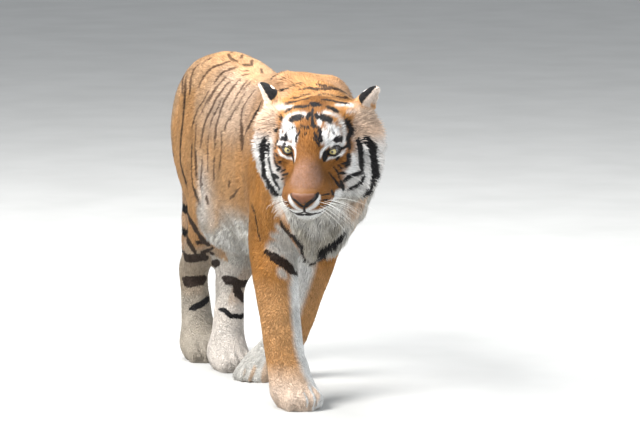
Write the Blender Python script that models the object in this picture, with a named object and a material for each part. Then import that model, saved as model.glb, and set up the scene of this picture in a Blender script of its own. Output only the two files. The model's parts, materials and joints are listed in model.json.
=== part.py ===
"""A life-size tiger in mid walk, its head turned to its right, with one closed solid for each part of the body.

The body is modelled as clay is: overlapping tubes and balls are laid along the bones, melted into one surface with
soft hollows between them, and that surface is parted with thin cuts where the parts of the body have names. The
solids reach out to the tips of the coat. Units are metres. The animal faces -Y, its left side is +X, and the floor is z = 0.
"""

import math

import bmesh
import bpy
import numpy as np
from mathutils import Euler, Matrix, Vector

# ---------------------------------------------------------------- driving dimensions
CHEST_TOP = 0.953  # floor to the top of the back behind the shoulders, coat included
CROUP_TOP = 0.985  # floor to the top of the hips
CHEST_BOTTOM = 0.420  # floor to the hair between the forelegs
BELLY_BOTTOM = 0.372  # floor to the lowest hair of the belly
CHEST_HALF_WIDTH = 0.165
BELLY_HALF_WIDTH = 0.165
HIP_HALF_WIDTH = 0.140
EYE_HALF_SPACING = 0.064
EYE_RADIUS = 0.0185
HEAD_PLACE = Vector((-0.198, -0.563, 0.798))  # the point midway between the eyes
HEAD_YAW = math.radians(-31)  # turned to the animal's right
HEAD_PITCH = math.radians(16)  # nose down
HEAD_ROLL = math.radians(1)
FORE_PAW_HALF_WIDTH = 0.065
HIND_PAW_HALF_WIDTH = 0.060
ELBOW_CUT = 0.370  # the height at which the forearms part from the upper arms
WRIST_CUT = 0.130
KNEE_CUT = 0.350
HEEL_CUT = 0.200
NECK_CUT = -0.190  # the place along the back where the neck parts from the chest
CHEST_CUT = 0.300  # the place along the back where the chest parts from the loins
RUMP_CUT = 0.560  # the place along the back where the loins part from the hips
CUT = 0.0004  # the gap left between neighbouring solids
CUT_SLOT = "cut"  # the working material of faces that a cut made
SKIN_SLOT = "skin"  # the working material of the rest
WELD = 0.000002
GRAIN = 0.009  # slivers smaller than this are melted away after the cuts
FINE_GRAIN = 0.003  # the same on the head
VOXEL = 0.008  # the grain of the clay when it is melted together
FACE_SHARE = 0.068  # the share of the melted surface's faces that is kept on the face
BODY_SHARE = 0.460  # the share of those that is kept on the rest of the body
BODY_BLEND = 0.020  # how softly the forms of the body run together
FACE_BLEND = 0.012
TOE_BLEND = 0.005
FORM_STEPS, FORM_SIDES = 4, 24  # rings between two stations of a tube of clay, and the corners of each ring
TOOL_STEPS, TOOL_SIDES = 1, 12  # the same for the tools that cut

# The joints of the pose. "toes" is the middle of the paw on the floor.
RIGHT_FORE = {
    "blade": (-0.070, 0.000, 0.872),
    "shoulder": (-0.115, -0.150, 0.650),
    "elbow": (-0.122, -0.030, 0.470),
    "wrist": (-0.136, -0.175, 0.165),
    "toes": (-0.128, -0.262, 0.0),
}
LEFT_FORE = {
    "blade": (0.092, 0.030, 0.848),
    "shoulder": (0.092, -0.110, 0.640),
    "elbow": (0.084, 0.090, 0.465),
    "wrist": (0.060, 0.262, 0.170),
    "toes": (-0.033, 0.300, 0.0),
}
RIGHT_HIND = {
    "hip": (-0.077, 0.700, 0.740),
    "knee": (-0.079, 0.570, 0.500),
    "hock": (-0.064, 0.815, 0.265),
    "toes": (-0.066, 0.725, 0.0),
}
LEFT_HIND = {
    "hip": (0.085, 0.690, 0.740),
    "knee": (0.060, 0.500, 0.500),
    "hock": (-0.015, 0.612, 0.250),
    "toes": (-0.056, 0.500, 0.0),
}
TAIL_PATH = (  # centre, radius
    ((-0.005, 0.830, 0.860), 0.066),
    ((-0.010, 0.930, 0.800), 0.052),
    ((-0.002, 1.000, 0.690), 0.043),
    ((0.012, 1.040, 0.560), 0.039),
    ((0.018, 1.070, 0.430), 0.037),
    ((0.032, 1.120, 0.310), 0.035),
    ((0.057, 1.200, 0.235), 0.033),
    ((0.082, 1.290, 0.225), 0.030),
    ((0.107, 1.365, 0.265), 0.021),
)

FUR = (0.62, 0.33, 0.12)
HEAD_PIECES = ("head", "lower_jaw", "nose", "eye_right", "eye_left", "ear_right", "ear_left")
PALE_PIECES = ("lower_jaw", "hindpaw_right", "hindpaw_left")
PALE_FUR = (0.80, 0.74, 0.66)
NOSE_LEATHER = (0.55, 0.27, 0.20)
IRIS = (0.65, 0.55, 0.22)


# ---------------------------------------------------------------- helpers
def clear_scene():
    for obj in list(bpy.data.objects):
        bpy.data.objects.remove(obj, do_unlink=True)


def object_of(name, mesh):
    obj = bpy.data.objects.new(name, mesh)
    bpy.context.scene.collection.objects.link(obj)
    return obj


def evaluated_mesh(obj):
    """The object's mesh with its modifiers applied, as a mesh of its own."""
    graph = bpy.context.evaluated_depsgraph_get()
    return bpy.data.meshes.new_from_object(obj.evaluated_get(graph))


def between(a, b, share):
    return Vector(a).lerp(Vector(b), share)


def smooth_curve(stations, steps):
    """A Catmull-Rom curve through stations, each a tuple of equal length, with steps points from one to the next."""
    rows = np.array([tuple(station) for station in stations])
    rows = np.vstack([2 * rows[0] - rows[1], rows, 2 * rows[-1] - rows[-2]])
    found = []
    for i in range(1, len(rows) - 2):
        before, here, there, after = rows[i - 1 : i + 3]
        for t in np.arange(steps) / steps:
            linear = (there - before) * t
            square = (2 * before - 5 * here + 4 * there - after) * t**2
            cube = (3 * here - before - 3 * there + after) * t**3
            found.append(0.5 * (2 * here + linear + square + cube))
    return [*found, rows[-2]]


def tube_rings(stations, place, steps):
    """Centres, half-sizes and axes of a tube's rings. The rings stand across the path, their width nearest to X."""
    rows = smooth_curve(stations, steps)
    centres = [place @ Vector(row[:3]) for row in rows]
    level = place.to_3x3() @ Vector((1, 0, 0))
    rings = []
    for i, row in enumerate(rows):
        ahead = (centres[min(i + 1, len(rows) - 1)] - centres[max(i - 1, 0)]).normalized()
        across = (level - ahead * ahead.dot(level)).normalized()
        rings.append((centres[i], float(row[3]), float(row[4]), (across, ahead.cross(across), ahead)))
    return rings


def add_tube(mesh, stations, place, steps, sides):
    """Adds a closed tube to a bmesh. A station is x, y, z, half-width across the animal, and half-depth."""
    rings = tube_rings(stations, place, steps)
    corners = []
    for centre, wide, deep, (across, down, _) in rings:
        angles = [2 * math.pi * k / sides for k in range(sides)]
        spots = [centre + across * (wide * math.cos(t)) + down * (deep * math.sin(t)) for t in angles]
        corners.append([mesh.verts.new(spot) for spot in spots])
    for near, far in zip(corners, corners[1:]):
        for k in range(sides):
            n = (k + 1) % sides
            mesh.faces.new((near[k], near[n], far[n], far[k]))
    mesh.faces.new(list(reversed(corners[0])))
    mesh.faces.new(corners[-1])
    return rings


def add_ball(mesh, matrix, sides):
    bmesh.ops.create_uvsphere(mesh, u_segments=sides, v_segments=sides // 2 + 1, radius=1.0, matrix=matrix)


def mesh_of(work):
    """A bmesh as a mesh, all its faces turned outward."""
    bmesh.ops.recalc_face_normals(work, faces=work.faces)
    mesh = bpy.data.meshes.new("mesh")
    work.to_mesh(mesh)
    work.free()
    return mesh


class Clay:
    """Tubes and balls, kept both as rough meshes and as formulas for the distance to their smooth union."""

    def __init__(self):
        self.mesh = bmesh.new()
        self.layers = {}
        self.blend = BODY_BLEND

    def keep(self, group):
        self.layers.setdefault(self.blend, []).append(group)

    def tube(self, stations, place=Matrix()):
        rings = add_tube(self.mesh, stations, place, FORM_STEPS, FORM_SIDES)
        group = []
        for (a, wide_a, deep_a, axes), (b, wide_b, deep_b, _) in zip(rings, rings[1:]):
            size_a = (wide_a, deep_a, min(wide_a, deep_a))
            size_b = (wide_b, deep_b, min(wide_b, deep_b))
            group.append((np.array(a), np.array(b), np.array(size_a), np.array(size_b), np.array(axes)))
        self.keep(group)

    def ball(self, centre, radii, turn=(0, 0, 0), place=Matrix()):
        """An ellipsoid. turn is its rotation about X, Y and Z, in degrees."""
        spin = Euler([math.radians(t) for t in turn]).to_matrix().to_4x4()
        matrix = place @ Matrix.Translation(centre) @ spin
        add_ball(self.mesh, matrix @ Matrix.Diagonal((*radii, 1.0)), FORM_SIDES)
        spot = np.array(matrix.translation)
        axes = np.array(matrix.to_3x3().transposed())
        self.keep([(spot, spot, np.array(radii), np.array(radii), axes)])

    def pair(self, centre, radii, turn=(0, 0, 0), place=Matrix()):
        """The same ellipsoid on both sides of the middle plane."""
        x, y, z = centre
        self.ball((x, y, z), radii, turn, place)
        self.ball((-x, y, z), radii, (turn[0], -turn[1], -turn[2]), place)

    def distance(self, points):
        """How far outside the smooth union each point lies, less than 0 inside."""
        total = np.full(len(points), -np.inf)
        for blend, groups in self.layers.items():
            layer = np.full(len(points), -np.inf)
            for group in groups:
                nearest = np.min([form_distance(points, form) for form in group], axis=0)
                layer = np.logaddexp(layer, -nearest / blend)
            total = np.logaddexp(total, layer * blend / BODY_BLEND)
        return -BODY_BLEND * total


def form_distance(points, form):
    """Distance from points to an ellipsoid swept from one centre and size to another."""
    start, end, start_size, end_size, axes = form
    way = end - start
    share = np.clip((points - start) @ way / max(way @ way, 1e-12), 0, 1)[:, None]
    local = (points - start - share * way) @ axes.T
    size = start_size + share * (end_size - start_size)
    outer = np.sqrt(np.sum((local / size) ** 2, axis=1)) + 1e-9
    inner = np.sqrt(np.sum((local / size**2) ** 2, axis=1)) + 1e-9
    return outer * (outer - 1) / inner


# ---------------------------------------------------------------- the clay
def add_trunk(clay):
    """The rib cage, belly and hips: one tube from the breastbone to the tail."""
    stations = (  # y, top, bottom, half-width
        (-0.250, 0.790, 0.600, 0.060),
        (-0.190, 0.870, 0.520, 0.110),
        (-0.080, CHEST_TOP - 0.010, CHEST_BOTTOM + 0.025, 0.145),
        (0.060, CHEST_TOP, CHEST_BOTTOM, CHEST_HALF_WIDTH),
        (0.220, CHEST_TOP - 0.025, CHEST_BOTTOM - 0.010, BELLY_HALF_WIDTH),
        (0.400, CHEST_TOP - 0.015, BELLY_BOTTOM, BELLY_HALF_WIDTH),
        (0.540, CROUP_TOP - 0.020, BELLY_BOTTOM + 0.015, 0.158),
        (0.670, CROUP_TOP, BELLY_BOTTOM + 0.110, HIP_HALF_WIDTH),
        (0.790, CROUP_TOP - 0.035, BELLY_BOTTOM + 0.210, 0.122),
        (0.870, CROUP_TOP - 0.100, BELLY_BOTTOM + 0.300, 0.080),
    )
    clay.tube([(0, y, (top + low) / 2, half, (top - low) / 2) for y, top, low, half in stations])
    clay.ball((-0.050, -0.235, 0.590), (0.100, 0.080, 0.140), (-15, 0, 0))  # the long hair of the breast
    clay.ball((-0.045, -0.190, 0.500), (0.065, 0.070, 0.075))
    clay.pair((0.110, 0.490, 0.500), (0.040, 0.110, 0.100), (30, 0, 0))  # the loose skin before the thighs


def add_neck(clay):
    nape = head_matrix() @ Vector((0, 0.135, -0.020))
    stations = (
        (0.0, 0.080, 0.740, 0.130, 0.180),
        (-0.010, -0.060, 0.740, 0.140, 0.185),
        (-0.050, -0.200, 0.735, 0.135, 0.178),
        (-0.098, -0.310, 0.745, 0.125, 0.155),
        (*nape, 0.110, 0.110),
    )
    clay.tube(stations)


def add_foreleg(clay, joints):
    """Shoulder blade, upper arm, forearm and wrist."""
    blade, shoulder, elbow, wrist, toes = (Vector(joints[n]) for n in ("blade", "shoulder", "elbow", "wrist", "toes"))
    outward = -1 if shoulder.x < 0 else 1
    clay.ball(blade, (0.045, 0.080, 0.100), (12, 8 * outward, 0))
    clay.ball(between(blade, shoulder, 0.60), (0.062, 0.095, 0.130), (28, 0, 0))
    clay.ball(between(shoulder, elbow, 0.45) + Vector((0, 0.045, 0.020)), (0.058, 0.090, 0.110), (-30, 0, 0))
    knuckles = toes + (wrist - toes).normalized() * 0.070
    stations = (
        (*between(blade, shoulder, 0.8), 0.055, 0.070),
        (*shoulder, 0.065, 0.085),
        (*between(shoulder, elbow, 0.6), 0.070, 0.085),
        (*elbow, 0.070, 0.078),
        (*between(elbow, wrist, 0.35), 0.072, 0.070),
        (*between(elbow, wrist, 0.70), 0.066, 0.059),
        (*wrist, 0.064, 0.056),
        (*between(wrist, knuckles, 0.6), 0.062, 0.050),
        (*knuckles, 0.056, 0.042),
    )
    clay.tube(stations)


def add_hindleg(clay, joints):
    """Thigh, shank and the long hind foot."""
    hip, knee, hock, toes = (Vector(joints[n]) for n in ("hip", "knee", "hock", "toes"))
    outward = -1 if hip.x < 0 else 1
    clay.ball(between(hip, knee, 0.38) + Vector((outward * 0.003, 0.045, 0)), (0.058, 0.135, 0.190), (-18, 0, 0))
    clay.ball(hip + Vector((0, 0.085, -0.050)), (0.048, 0.095, 0.140), (6, 0, 0))
    knuckles = toes + Vector((0, 0.035, 0.055))
    stations = (
        (*between(hip, knee, 0.5), 0.062, 0.100),
        (*between(hip, knee, 0.95), 0.060, 0.090),
        (*between(knee, hock, 0.40), 0.060, 0.076),
        (*between(knee, hock, 0.80), 0.050, 0.054),
        (*hock, 0.046, 0.048),
        (*between(hock, knuckles, 0.45), 0.050, 0.043),
        (*knuckles, 0.053, 0.040),
    )
    clay.tube(stations)
    clay.ball(hock + Vector((0, 0.024, 0.014)), (0.024, 0.028, 0.038), (-25, 0, 0))  # the heel


def add_paw(clay, toes, half_width, turn_deg, lift_deg=0.0):
    """Four toes in an arc before the ball of the foot. turn_deg turns the paw, lift_deg raises its heel."""
    place = (
        Matrix.Translation(Vector(toes))
        @ Matrix.Rotation(math.radians(turn_deg), 4, "Z")
        @ Matrix.Rotation(math.radians(lift_deg), 4, "X")
    )
    clay.ball((0, 0.030, 0.040), (half_width * 0.90, 0.070, 0.048), place=place)
    clay.ball((0, 0.015, 0.012), (half_width * 0.72, 0.055, 0.026), place=place)
    for i in range(4):
        across = (i - 1.5) / 1.5  # -1 for the outermost toe to +1 for the innermost
        ahead = -0.056 + 0.024 * across**2
        centre = (across * half_width * 0.72, ahead, 0.026)
        clay.ball(centre, (half_width * 0.27, 0.042, 0.033), (0, 0, 12 * across), place)
        knuckle = (across * half_width * 0.62, ahead + 0.030, 0.046)
        clay.ball(knuckle, (half_width * 0.22, 0.034, 0.024), (18, 0, 12 * across), place)


def head_matrix():
    """From the head's own frame, level and facing -Y with the eyes at z = 0, to the animal's."""
    turn = (
        Matrix.Rotation(HEAD_YAW, 4, "Z")
        @ Matrix.Rotation(HEAD_PITCH, 4, "X")
        @ Matrix.Rotation(HEAD_ROLL, 4, "Y")
    )
    return Matrix.Translation(HEAD_PLACE) @ turn


def add_head(clay):
    place = head_matrix()
    bridge = (
        (0, -0.144, -0.088, 0.030, 0.021),
        (0, -0.110, -0.072, 0.036, 0.031),
        (0, -0.065, -0.044, 0.040, 0.038),
        (0, -0.015, -0.010, 0.046, 0.044),
        (0, 0.045, 0.028, 0.066, 0.056),
    )
    upper_jaw = (
        (0, -0.112, -0.101, 0.039, 0.028),
        (0, -0.060, -0.098, 0.055, 0.044),
        (0, 0.010, -0.085, 0.072, 0.055),
    )
    lower_jaw = (
        (0, -0.110, -0.153, 0.030, 0.024),
        (0, -0.080, -0.155, 0.042, 0.031),
        (0, -0.020, -0.150, 0.058, 0.040),
        (0, 0.050, -0.144, 0.080, 0.050),
    )
    for stations in (bridge, upper_jaw, lower_jaw):
        clay.tube(stations, place)
    clay.ball((0, 0.080, 0.010), (0.080, 0.100, 0.078), place=place)  # the skull
    clay.ball((0, 0.095, 0.050), (0.092, 0.070, 0.050), place=place)  # the crown
    clay.pair((0.050, 0.006, 0.032), (0.030, 0.024, 0.012), (-20, 18, -12), place)  # brows
    clay.pair((0.072, 0.046, -0.026), (0.034, 0.060, 0.036), (0, 0, 18), place)  # cheekbones
    clay.pair((0.030, -0.110, -0.107), (0.031, 0.037, 0.028), (0, -10, -12), place)  # whisker pads
    clay.pair((0.039, -0.076, -0.108), (0.031, 0.051, 0.035), (0, -8, -12), place)
    clay.pair((0.084, 0.070, -0.076), (0.054, 0.060, 0.064), place=place)  # cheeks
    clay.pair((0.121, 0.122, -0.010), (0.058, 0.042, 0.084), (0, 8, 14), place)  # the ruff
    clay.pair((0.125, 0.116, -0.068), (0.059, 0.044, 0.072), (0, -6, 14), place)
    clay.pair((0.100, 0.096, -0.134), (0.053, 0.044, 0.062), (0, -28, 12), place)
    clay.pair((0.114, 0.136, 0.062), (0.036, 0.034, 0.036), place=place)  # the roots of the ears
    clay.ball((0, 0.080, -0.142), (0.085, 0.055, 0.055), place=place)  # the throat


def neighbour_mean(co, edges):
    """The mean of each vertex's neighbours."""
    total = np.zeros_like(co)
    count = np.zeros(len(co))
    for a, b in ((0, 1), (1, 0)):
        np.add.at(total, edges[:, a], co[edges[:, b]])
        np.add.at(count, edges[:, a], 1)
    return total / count[:, None]


def settle(mesh, clay, evenings):
    """Moves the mesh onto the smooth union of the clay's forms, evened out before each move by so much."""
    count = len(mesh.vertices)
    co = np.empty(count * 3)
    mesh.vertices.foreach_get("co", co)
    edges = np.empty(len(mesh.edges) * 2, dtype=int)
    mesh.edges.foreach_get("vertices", edges)
    edges = edges.reshape(-1, 2)
    normals = np.empty(count * 3, dtype=np.float32)
    co = co.reshape(-1, 3)
    for evening in evenings:
        co += evening * (neighbour_mean(co, edges) - co)
        mesh.vertices.foreach_set("co", co.ravel())
        mesh.update()
        mesh.vertices.foreach_get("normal", normals)
        co -= 0.9 * clay.distance(co)[:, None] * normals.reshape(-1, 3)
    mesh.vertices.foreach_set("co", co.ravel())
    mesh.update()


def weigh_plain_parts(obj):
    """Marks the vertices outside the face, which are thinned out further than the face."""
    group = obj.vertex_groups.new(name="plain")
    to_head = head_matrix().inverted()
    for vertex in obj.data.vertices:
        group.add([vertex.index], 0.0 if (to_head @ vertex.co).length < 0.19 else 1.0, "REPLACE")


def largest_island(work):
    """Deletes every loose piece of a bmesh but the largest, such as the skin of a hollow shut inside."""
    unseen = set(work.verts)
    islands = []
    while unseen:
        island = [unseen.pop()]
        for vertex in island:
            near = {edge.other_vert(vertex) for edge in vertex.link_edges} & unseen
            unseen -= near
            island.extend(near)
        islands.append(island)
    islands.sort(key=len)
    for island in islands[:-1]:
        bmesh.ops.delete(work, geom=island, context="VERTS")


def level_floor(mesh):
    """Cuts the mesh flat where it stands on the floor and closes the soles."""
    work = bmesh.new()
    work.from_mesh(mesh)
    largest_island(work)
    cut = bmesh.ops.bisect_plane(
        work,
        geom=[*work.verts, *work.edges, *work.faces],
        plane_co=(0, 0, 0),
        plane_no=(0, 0, -1),
        clear_outer=True,
    )
    edges = [g for g in cut["geom_cut"] if isinstance(g, bmesh.types.BMEdge)]
    bmesh.ops.holes_fill(work, edges=edges)
    bmesh.ops.triangulate(work, faces=work.faces)
    work.to_mesh(mesh)
    work.free()


def melted(clay):
    """The clay as one smooth closed surface, cut flat on the floor."""
    obj = object_of("clay", mesh_of(clay.mesh))
    for evenings in ((1.0, 1.0, 1.0, 0.5), (1.0, 0.7, 0.4)):
        melt = obj.modifiers.new("melt", "REMESH")
        melt.mode = "VOXEL"
        melt.voxel_size = VOXEL
        obj.data = evaluated_mesh(obj)
        obj.modifiers.clear()
        settle(obj.data, clay, evenings)
    weigh_plain_parts(obj)
    for share, group in ((FACE_SHARE, ""), (BODY_SHARE, "plain")):
        thin = obj.modifiers.new("thin", "DECIMATE")
        thin.ratio = share
        thin.vertex_group = group
        obj.data = evaluated_mesh(obj)
        obj.modifiers.clear()
    obj.vertex_groups.clear()
    level_floor(obj.data)
    obj.data.materials.append(bpy.data.materials.new(SKIN_SLOT))
    return obj


# ---------------------------------------------------------------- cuts
def combined(obj, tool, operation):
    """The object after a Boolean with the tool, as a new mesh."""
    cut = obj.modifiers.new("cut", "BOOLEAN")
    cut.object = tool
    cut.operation = operation
    cut.solver = "EXACT"
    cut.material_mode = "TRANSFER"
    mesh = evaluated_mesh(obj)
    obj.modifiers.clear()
    return mesh


def tool_object(build_tool, slack):
    """build_tool(work, slack) adds the tool to a bmesh, drawn in by the slack."""
    work = bmesh.new()
    build_tool(work, slack)
    bmesh.ops.triangulate(work, faces=work.faces, quad_method="FIXED")
    tool = object_of("tool", mesh_of(work))
    tool.data.materials.append(bpy.data.materials.new(CUT_SLOT))
    return tool


def carve(obj, build_tool, slack=0.0):
    """Takes the tool's volume out of obj."""
    tool = tool_object(build_tool, slack)
    obj.data = combined(obj, tool, "DIFFERENCE")
    bpy.data.objects.remove(tool)


def parted(obj, name, build_tool):
    """Takes the piece inside the tool off obj and returns it, a hair smaller than its place."""
    tool = tool_object(build_tool, CUT)
    piece = object_of(name, combined(obj, tool, "INTERSECT"))
    bpy.data.objects.remove(tool)
    carve(obj, build_tool)
    return piece


def box_tool(low, high, place=Matrix()):
    """A box between two corners."""

    def build(work, slack):
        inner_low = Vector(low) + Vector((slack, slack, slack))
        inner_high = Vector(high) - Vector((slack, slack, slack))
        size = Matrix.Diagonal((*(inner_high - inner_low), 1.0))
        bmesh.ops.create_cube(work, size=1.0, matrix=place @ Matrix.Translation((inner_low + inner_high) / 2) @ size)

    return build


def tube_tool(stations, place=Matrix(), steps=TOOL_STEPS, sides=TOOL_SIDES):
    def build(work, slack):
        rows = [(*s[:3], s[3] - slack, s[4] - slack) for s in stations]
        for end, inner in ((0, 1), (-1, -2)):
            spot = Vector(rows[end][:3])
            inward = (Vector(rows[inner][:3]) - spot).normalized()
            rows[end] = (*(spot + inward * slack), *rows[end][3:])
        add_tube(work, rows, place, steps, sides)

    return build


def ball_tool(centre, radii, place=Matrix(), sides=TOOL_SIDES):
    def build(work, slack):
        inner = [radius - slack for radius in radii]
        add_ball(work, place @ Matrix.Translation(centre) @ Matrix.Diagonal((*inner, 1.0)), sides)

    return build


def ear_place(side):
    """From the ear's own frame, tip up and open toward -Y, to the animal's. side is -1 for the right ear."""
    lean = Matrix.Rotation(side * math.radians(33), 4, "Y")
    turn = Matrix.Rotation(side * math.radians(74), 4, "Z")  # the ears are swivelled outward
    return head_matrix() @ Matrix.Translation((side * 0.135, 0.146, 0.082)) @ lean @ turn


def ear_tool(side):
    """The ear as a flattened cone, from its root inside the head to its round tip."""
    rows = (  # height along the ear, half-width, half-thickness
        (-0.030, 0.037, 0.030),
        (0.000, 0.041, 0.031),
        (0.026, 0.039, 0.027),
        (0.048, 0.030, 0.019),
        (0.061, 0.017, 0.010),
        (0.067, 0.006, 0.005),
    )
    return tube_tool([(0, 0, *row) for row in rows], ear_place(side), 1, 16)


def add_ear(name, side, head):
    """A cupped ear, seated in a socket of its own in the head."""
    carve(head, ear_tool(side), -CUT)
    ear = tool_object(ear_tool(side), 0.0)
    ear.name = name
    carve(ear, ball_tool((0, -0.034, 0.032), (0.030, 0.036, 0.036), ear_place(side), 14))
    return ear


def add_eye(name, side, head):
    """An eyeball in its socket, seen through an almond-shaped opening between the lids."""
    place = head_matrix() @ Matrix.Translation((side * EYE_HALF_SPACING, -0.002, 0.0))
    outward = place @ Matrix.Rotation(side * math.radians(20), 4, "Z")
    slant = outward @ Matrix.Rotation(side * math.radians(-12), 4, "Y")
    carve(head, ball_tool((0, -0.020, 0), (0.0175, 0.026, 0.0105), slant))
    ball = ball_tool((0, 0, 0), [EYE_RADIUS] * 3, place, 14)
    carve(head, ball, -CUT)
    eye = tool_object(ball, 0.0)
    eye.name = name
    return eye


def head_parts(body):
    """The head with its jaw, nose, eyes and ears, parted from the body."""
    place = head_matrix()
    eyes = [add_eye("eye_right", -1, body), add_eye("eye_left", 1, body)]
    ears = [add_ear("ear_right", -1, body), add_ear("ear_left", 1, body)]
    nose = parted(body, "nose", ball_tool((0, -0.150, -0.084), (0.038, 0.034, 0.022), place))
    mouth = place @ Matrix.Translation((0, -0.160, -0.131)) @ Matrix.Rotation(math.radians(-9), 4, "X")
    jaw = parted(body, "lower_jaw", box_tool((-0.080, -0.060, -0.120), (0.080, 0.135, 0.0), mouth))
    head = parted(body, "head", box_tool((-0.30, -0.30, -0.25), (0.30, 0.190, 0.30), place))
    return [head, jaw, nose, *eyes, *ears]


def leg_parts(body, kind, right_tools, left_tools):
    """A pair of legs, each parted from the body in three lengths, from the floor up."""
    names = (f"{kind}paw", f"{kind}leg_lower", f"{kind}leg_upper")
    pieces = []
    for name, right, left in zip(names, right_tools, left_tools):
        pieces.append(parted(body, name + "_right", right))
        pieces.append(parted(body, name + "_left", left))
    return pieces


def tail_parts(body):
    base = parted(body, "tail_base", box_tool((-0.30, 0.915, 0.0), (0.30, 1.60, 1.20)))
    middle = parted(base, "tail_middle", box_tool((-0.35, 0.80, -0.10), (0.35, 1.70, 0.620)))
    tip = parted(middle, "tail_tip", box_tool((-0.40, 1.130, -0.20), (0.40, 1.80, 0.800)))
    return [base, middle, tip]


def trunk_parts(body):
    neck_place = Matrix.Translation((0, NECK_CUT, 0.740)) @ Matrix.Rotation(math.radians(-18), 4, "X")
    neck = parted(body, "neck", box_tool((-0.50, -0.60, -0.190), (0.50, 0.0, 0.50), neck_place))
    rump = parted(body, "rump", box_tool((-0.50, RUMP_CUT, 0.0), (0.50, 1.20, 1.30)))
    loin = parted(body, "loin", box_tool((-0.45, CHEST_CUT, -0.10), (0.45, 1.30, 1.40)))
    body.name = "chest"
    return [body, neck, loin, rump]


# ---------------------------------------------------------------- the animal
def whole_body():
    clay = Clay()
    add_trunk(clay)
    add_neck(clay)
    for joints in (RIGHT_FORE, LEFT_FORE):
        add_foreleg(clay, joints)
    for joints in (RIGHT_HIND, LEFT_HIND):
        add_hindleg(clay, joints)
    clay.tube([(*centre, radius, radius) for centre, radius in TAIL_PATH])
    clay.blend = FACE_BLEND
    add_head(clay)
    clay.blend = TOE_BLEND
    add_paw(clay, RIGHT_FORE["toes"], FORE_PAW_HALF_WIDTH, 6)
    add_paw(clay, LEFT_FORE["toes"], FORE_PAW_HALF_WIDTH, -55, 14)
    add_paw(clay, RIGHT_HIND["toes"], HIND_PAW_HALF_WIDTH, -4)
    add_paw(clay, LEFT_HIND["toes"], HIND_PAW_HALF_WIDTH, 2)
    return melted(clay)


def foreleg_parts(body):
    right_upper = (
        (-0.132, -0.075, ELBOW_CUT - 0.100, 0.100, 0.130),
        (-0.125, -0.080, 0.520, 0.108, 0.160),
        (-0.120, -0.070, 0.680, 0.090, 0.140),
        (-0.105, -0.030, 0.840, 0.040, 0.070),
    )
    left_upper = (
        (0.090, 0.140, ELBOW_CUT - 0.100, 0.090, 0.140),
        (0.110, 0.050, 0.520, 0.098, 0.165),
        (0.110, -0.030, 0.680, 0.085, 0.145),
        (0.105, 0.020, 0.830, 0.040, 0.070),
    )
    right_paw = box_tool((-0.26, -0.42, -0.05), (-0.01, 0.10, WRIST_CUT))
    right_lower = box_tool((-0.27, -0.43, -0.06), (0.00, 0.13, ELBOW_CUT))
    left_paw = box_tool((-0.22, 0.11, -0.05), (0.21, 0.386, WRIST_CUT))
    left_lower = box_tool((-0.23, 0.00, -0.06), (0.22, 0.384, ELBOW_CUT))
    right_tools = (right_paw, right_lower, tube_tool(right_upper))
    return leg_parts(body, "fore", right_tools, (left_paw, left_lower, tube_tool(left_upper)))


def hindleg_parts(body):
    """The shanks pass close to each other, so the tools for them are two boxes that meet on a slanted plane."""
    right_upper = (
        (-0.080, 0.720, KNEE_CUT - 0.100, 0.080, 0.150),
        (-0.090, 0.665, 0.420, 0.078, 0.150),
        (-0.110, 0.645, 0.540, 0.092, 0.185),
        (-0.115, 0.670, 0.700, 0.085, 0.150),
        (-0.105, 0.700, 0.850, 0.040, 0.070),
    )
    left_upper = (
        (0.010, 0.580, KNEE_CUT - 0.100, 0.080, 0.140),
        (0.035, 0.555, 0.420, 0.078, 0.140),
        (0.075, 0.590, 0.540, 0.082, 0.185),
        (0.105, 0.650, 0.700, 0.085, 0.150),
        (0.105, 0.690, 0.850, 0.040, 0.070),
    )
    turn = Matrix.Rotation(math.radians(30), 4, "Z") @ Matrix.Rotation(math.radians(17), 4, "X")
    between_shanks = Matrix.Translation((-0.030, 0.650, KNEE_CUT)) @ turn
    right_paw = box_tool((-0.22, 0.614, -0.05), (0.16, 0.94, HEEL_CUT))
    right_lower = box_tool((-0.25, 0.0, -0.26), (0.25, 0.27, 0.0), between_shanks)
    left_paw = box_tool((-0.20, 0.388, -0.06), (0.18, 0.82, HEEL_CUT))
    left_lower = box_tool((-0.25, -0.30, -0.26), (0.25, 0.0, 0.0), between_shanks)
    right_tools = (right_paw, right_lower, tube_tool(right_upper))
    return leg_parts(body, "hind", right_tools, (left_paw, left_lower, tube_tool(left_upper)))


def cut_planes(vertex, slots):
    """The planes of the cut faces that meet at a vertex."""
    normals = [face.normal for face in vertex.link_faces if slots[face.material_index] == CUT_SLOT]
    return {(*(round(value, 3) for value in normal), round(normal.dot(vertex.co), 4)) for normal in normals}


def merge_map(work, slots, grain):
    """Vertices, none near another, that can be melted into a neighbour without moving off a cut they lie on."""
    planes = {vertex: cut_planes(vertex, slots) for vertex in work.verts}
    used = set()
    found = {}
    for edge in sorted(work.edges, key=lambda edge: edge.calc_length()):
        if edge.calc_length() > grain:
            break
        first, second = edge.verts
        if not planes[first] <= planes[second]:
            first, second = second, first
        around = {other for end in edge.verts for side in end.link_edges for other in side.verts}
        if planes[first] <= planes[second] and not around & used:
            shared = [v for v in around if v not in edge.verts and all(linked(v, end) for end in edge.verts)]
            if len(shared) == 2:
                found[first] = second
                used |= around
    return found


def linked(a, b):
    return any(edge.other_vert(a) is b for edge in a.link_edges)


def tidied(obj, grain):
    """Melts the slivers that cutting leaves, up to the grain in size, and keeps every cut where it is."""
    slots = [slot.name.split(".")[0] for slot in obj.data.materials]
    work = bmesh.new()
    work.from_mesh(obj.data)
    bmesh.ops.remove_doubles(work, verts=work.verts, dist=WELD)
    bmesh.ops.triangulate(work, faces=work.faces)
    targets = merge_map(work, slots, grain)
    while targets:
        bmesh.ops.weld_verts(work, targetmap=targets)
        targets = merge_map(work, slots, grain)
    largest_island(work)
    obj.data = mesh_of(work)


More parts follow.
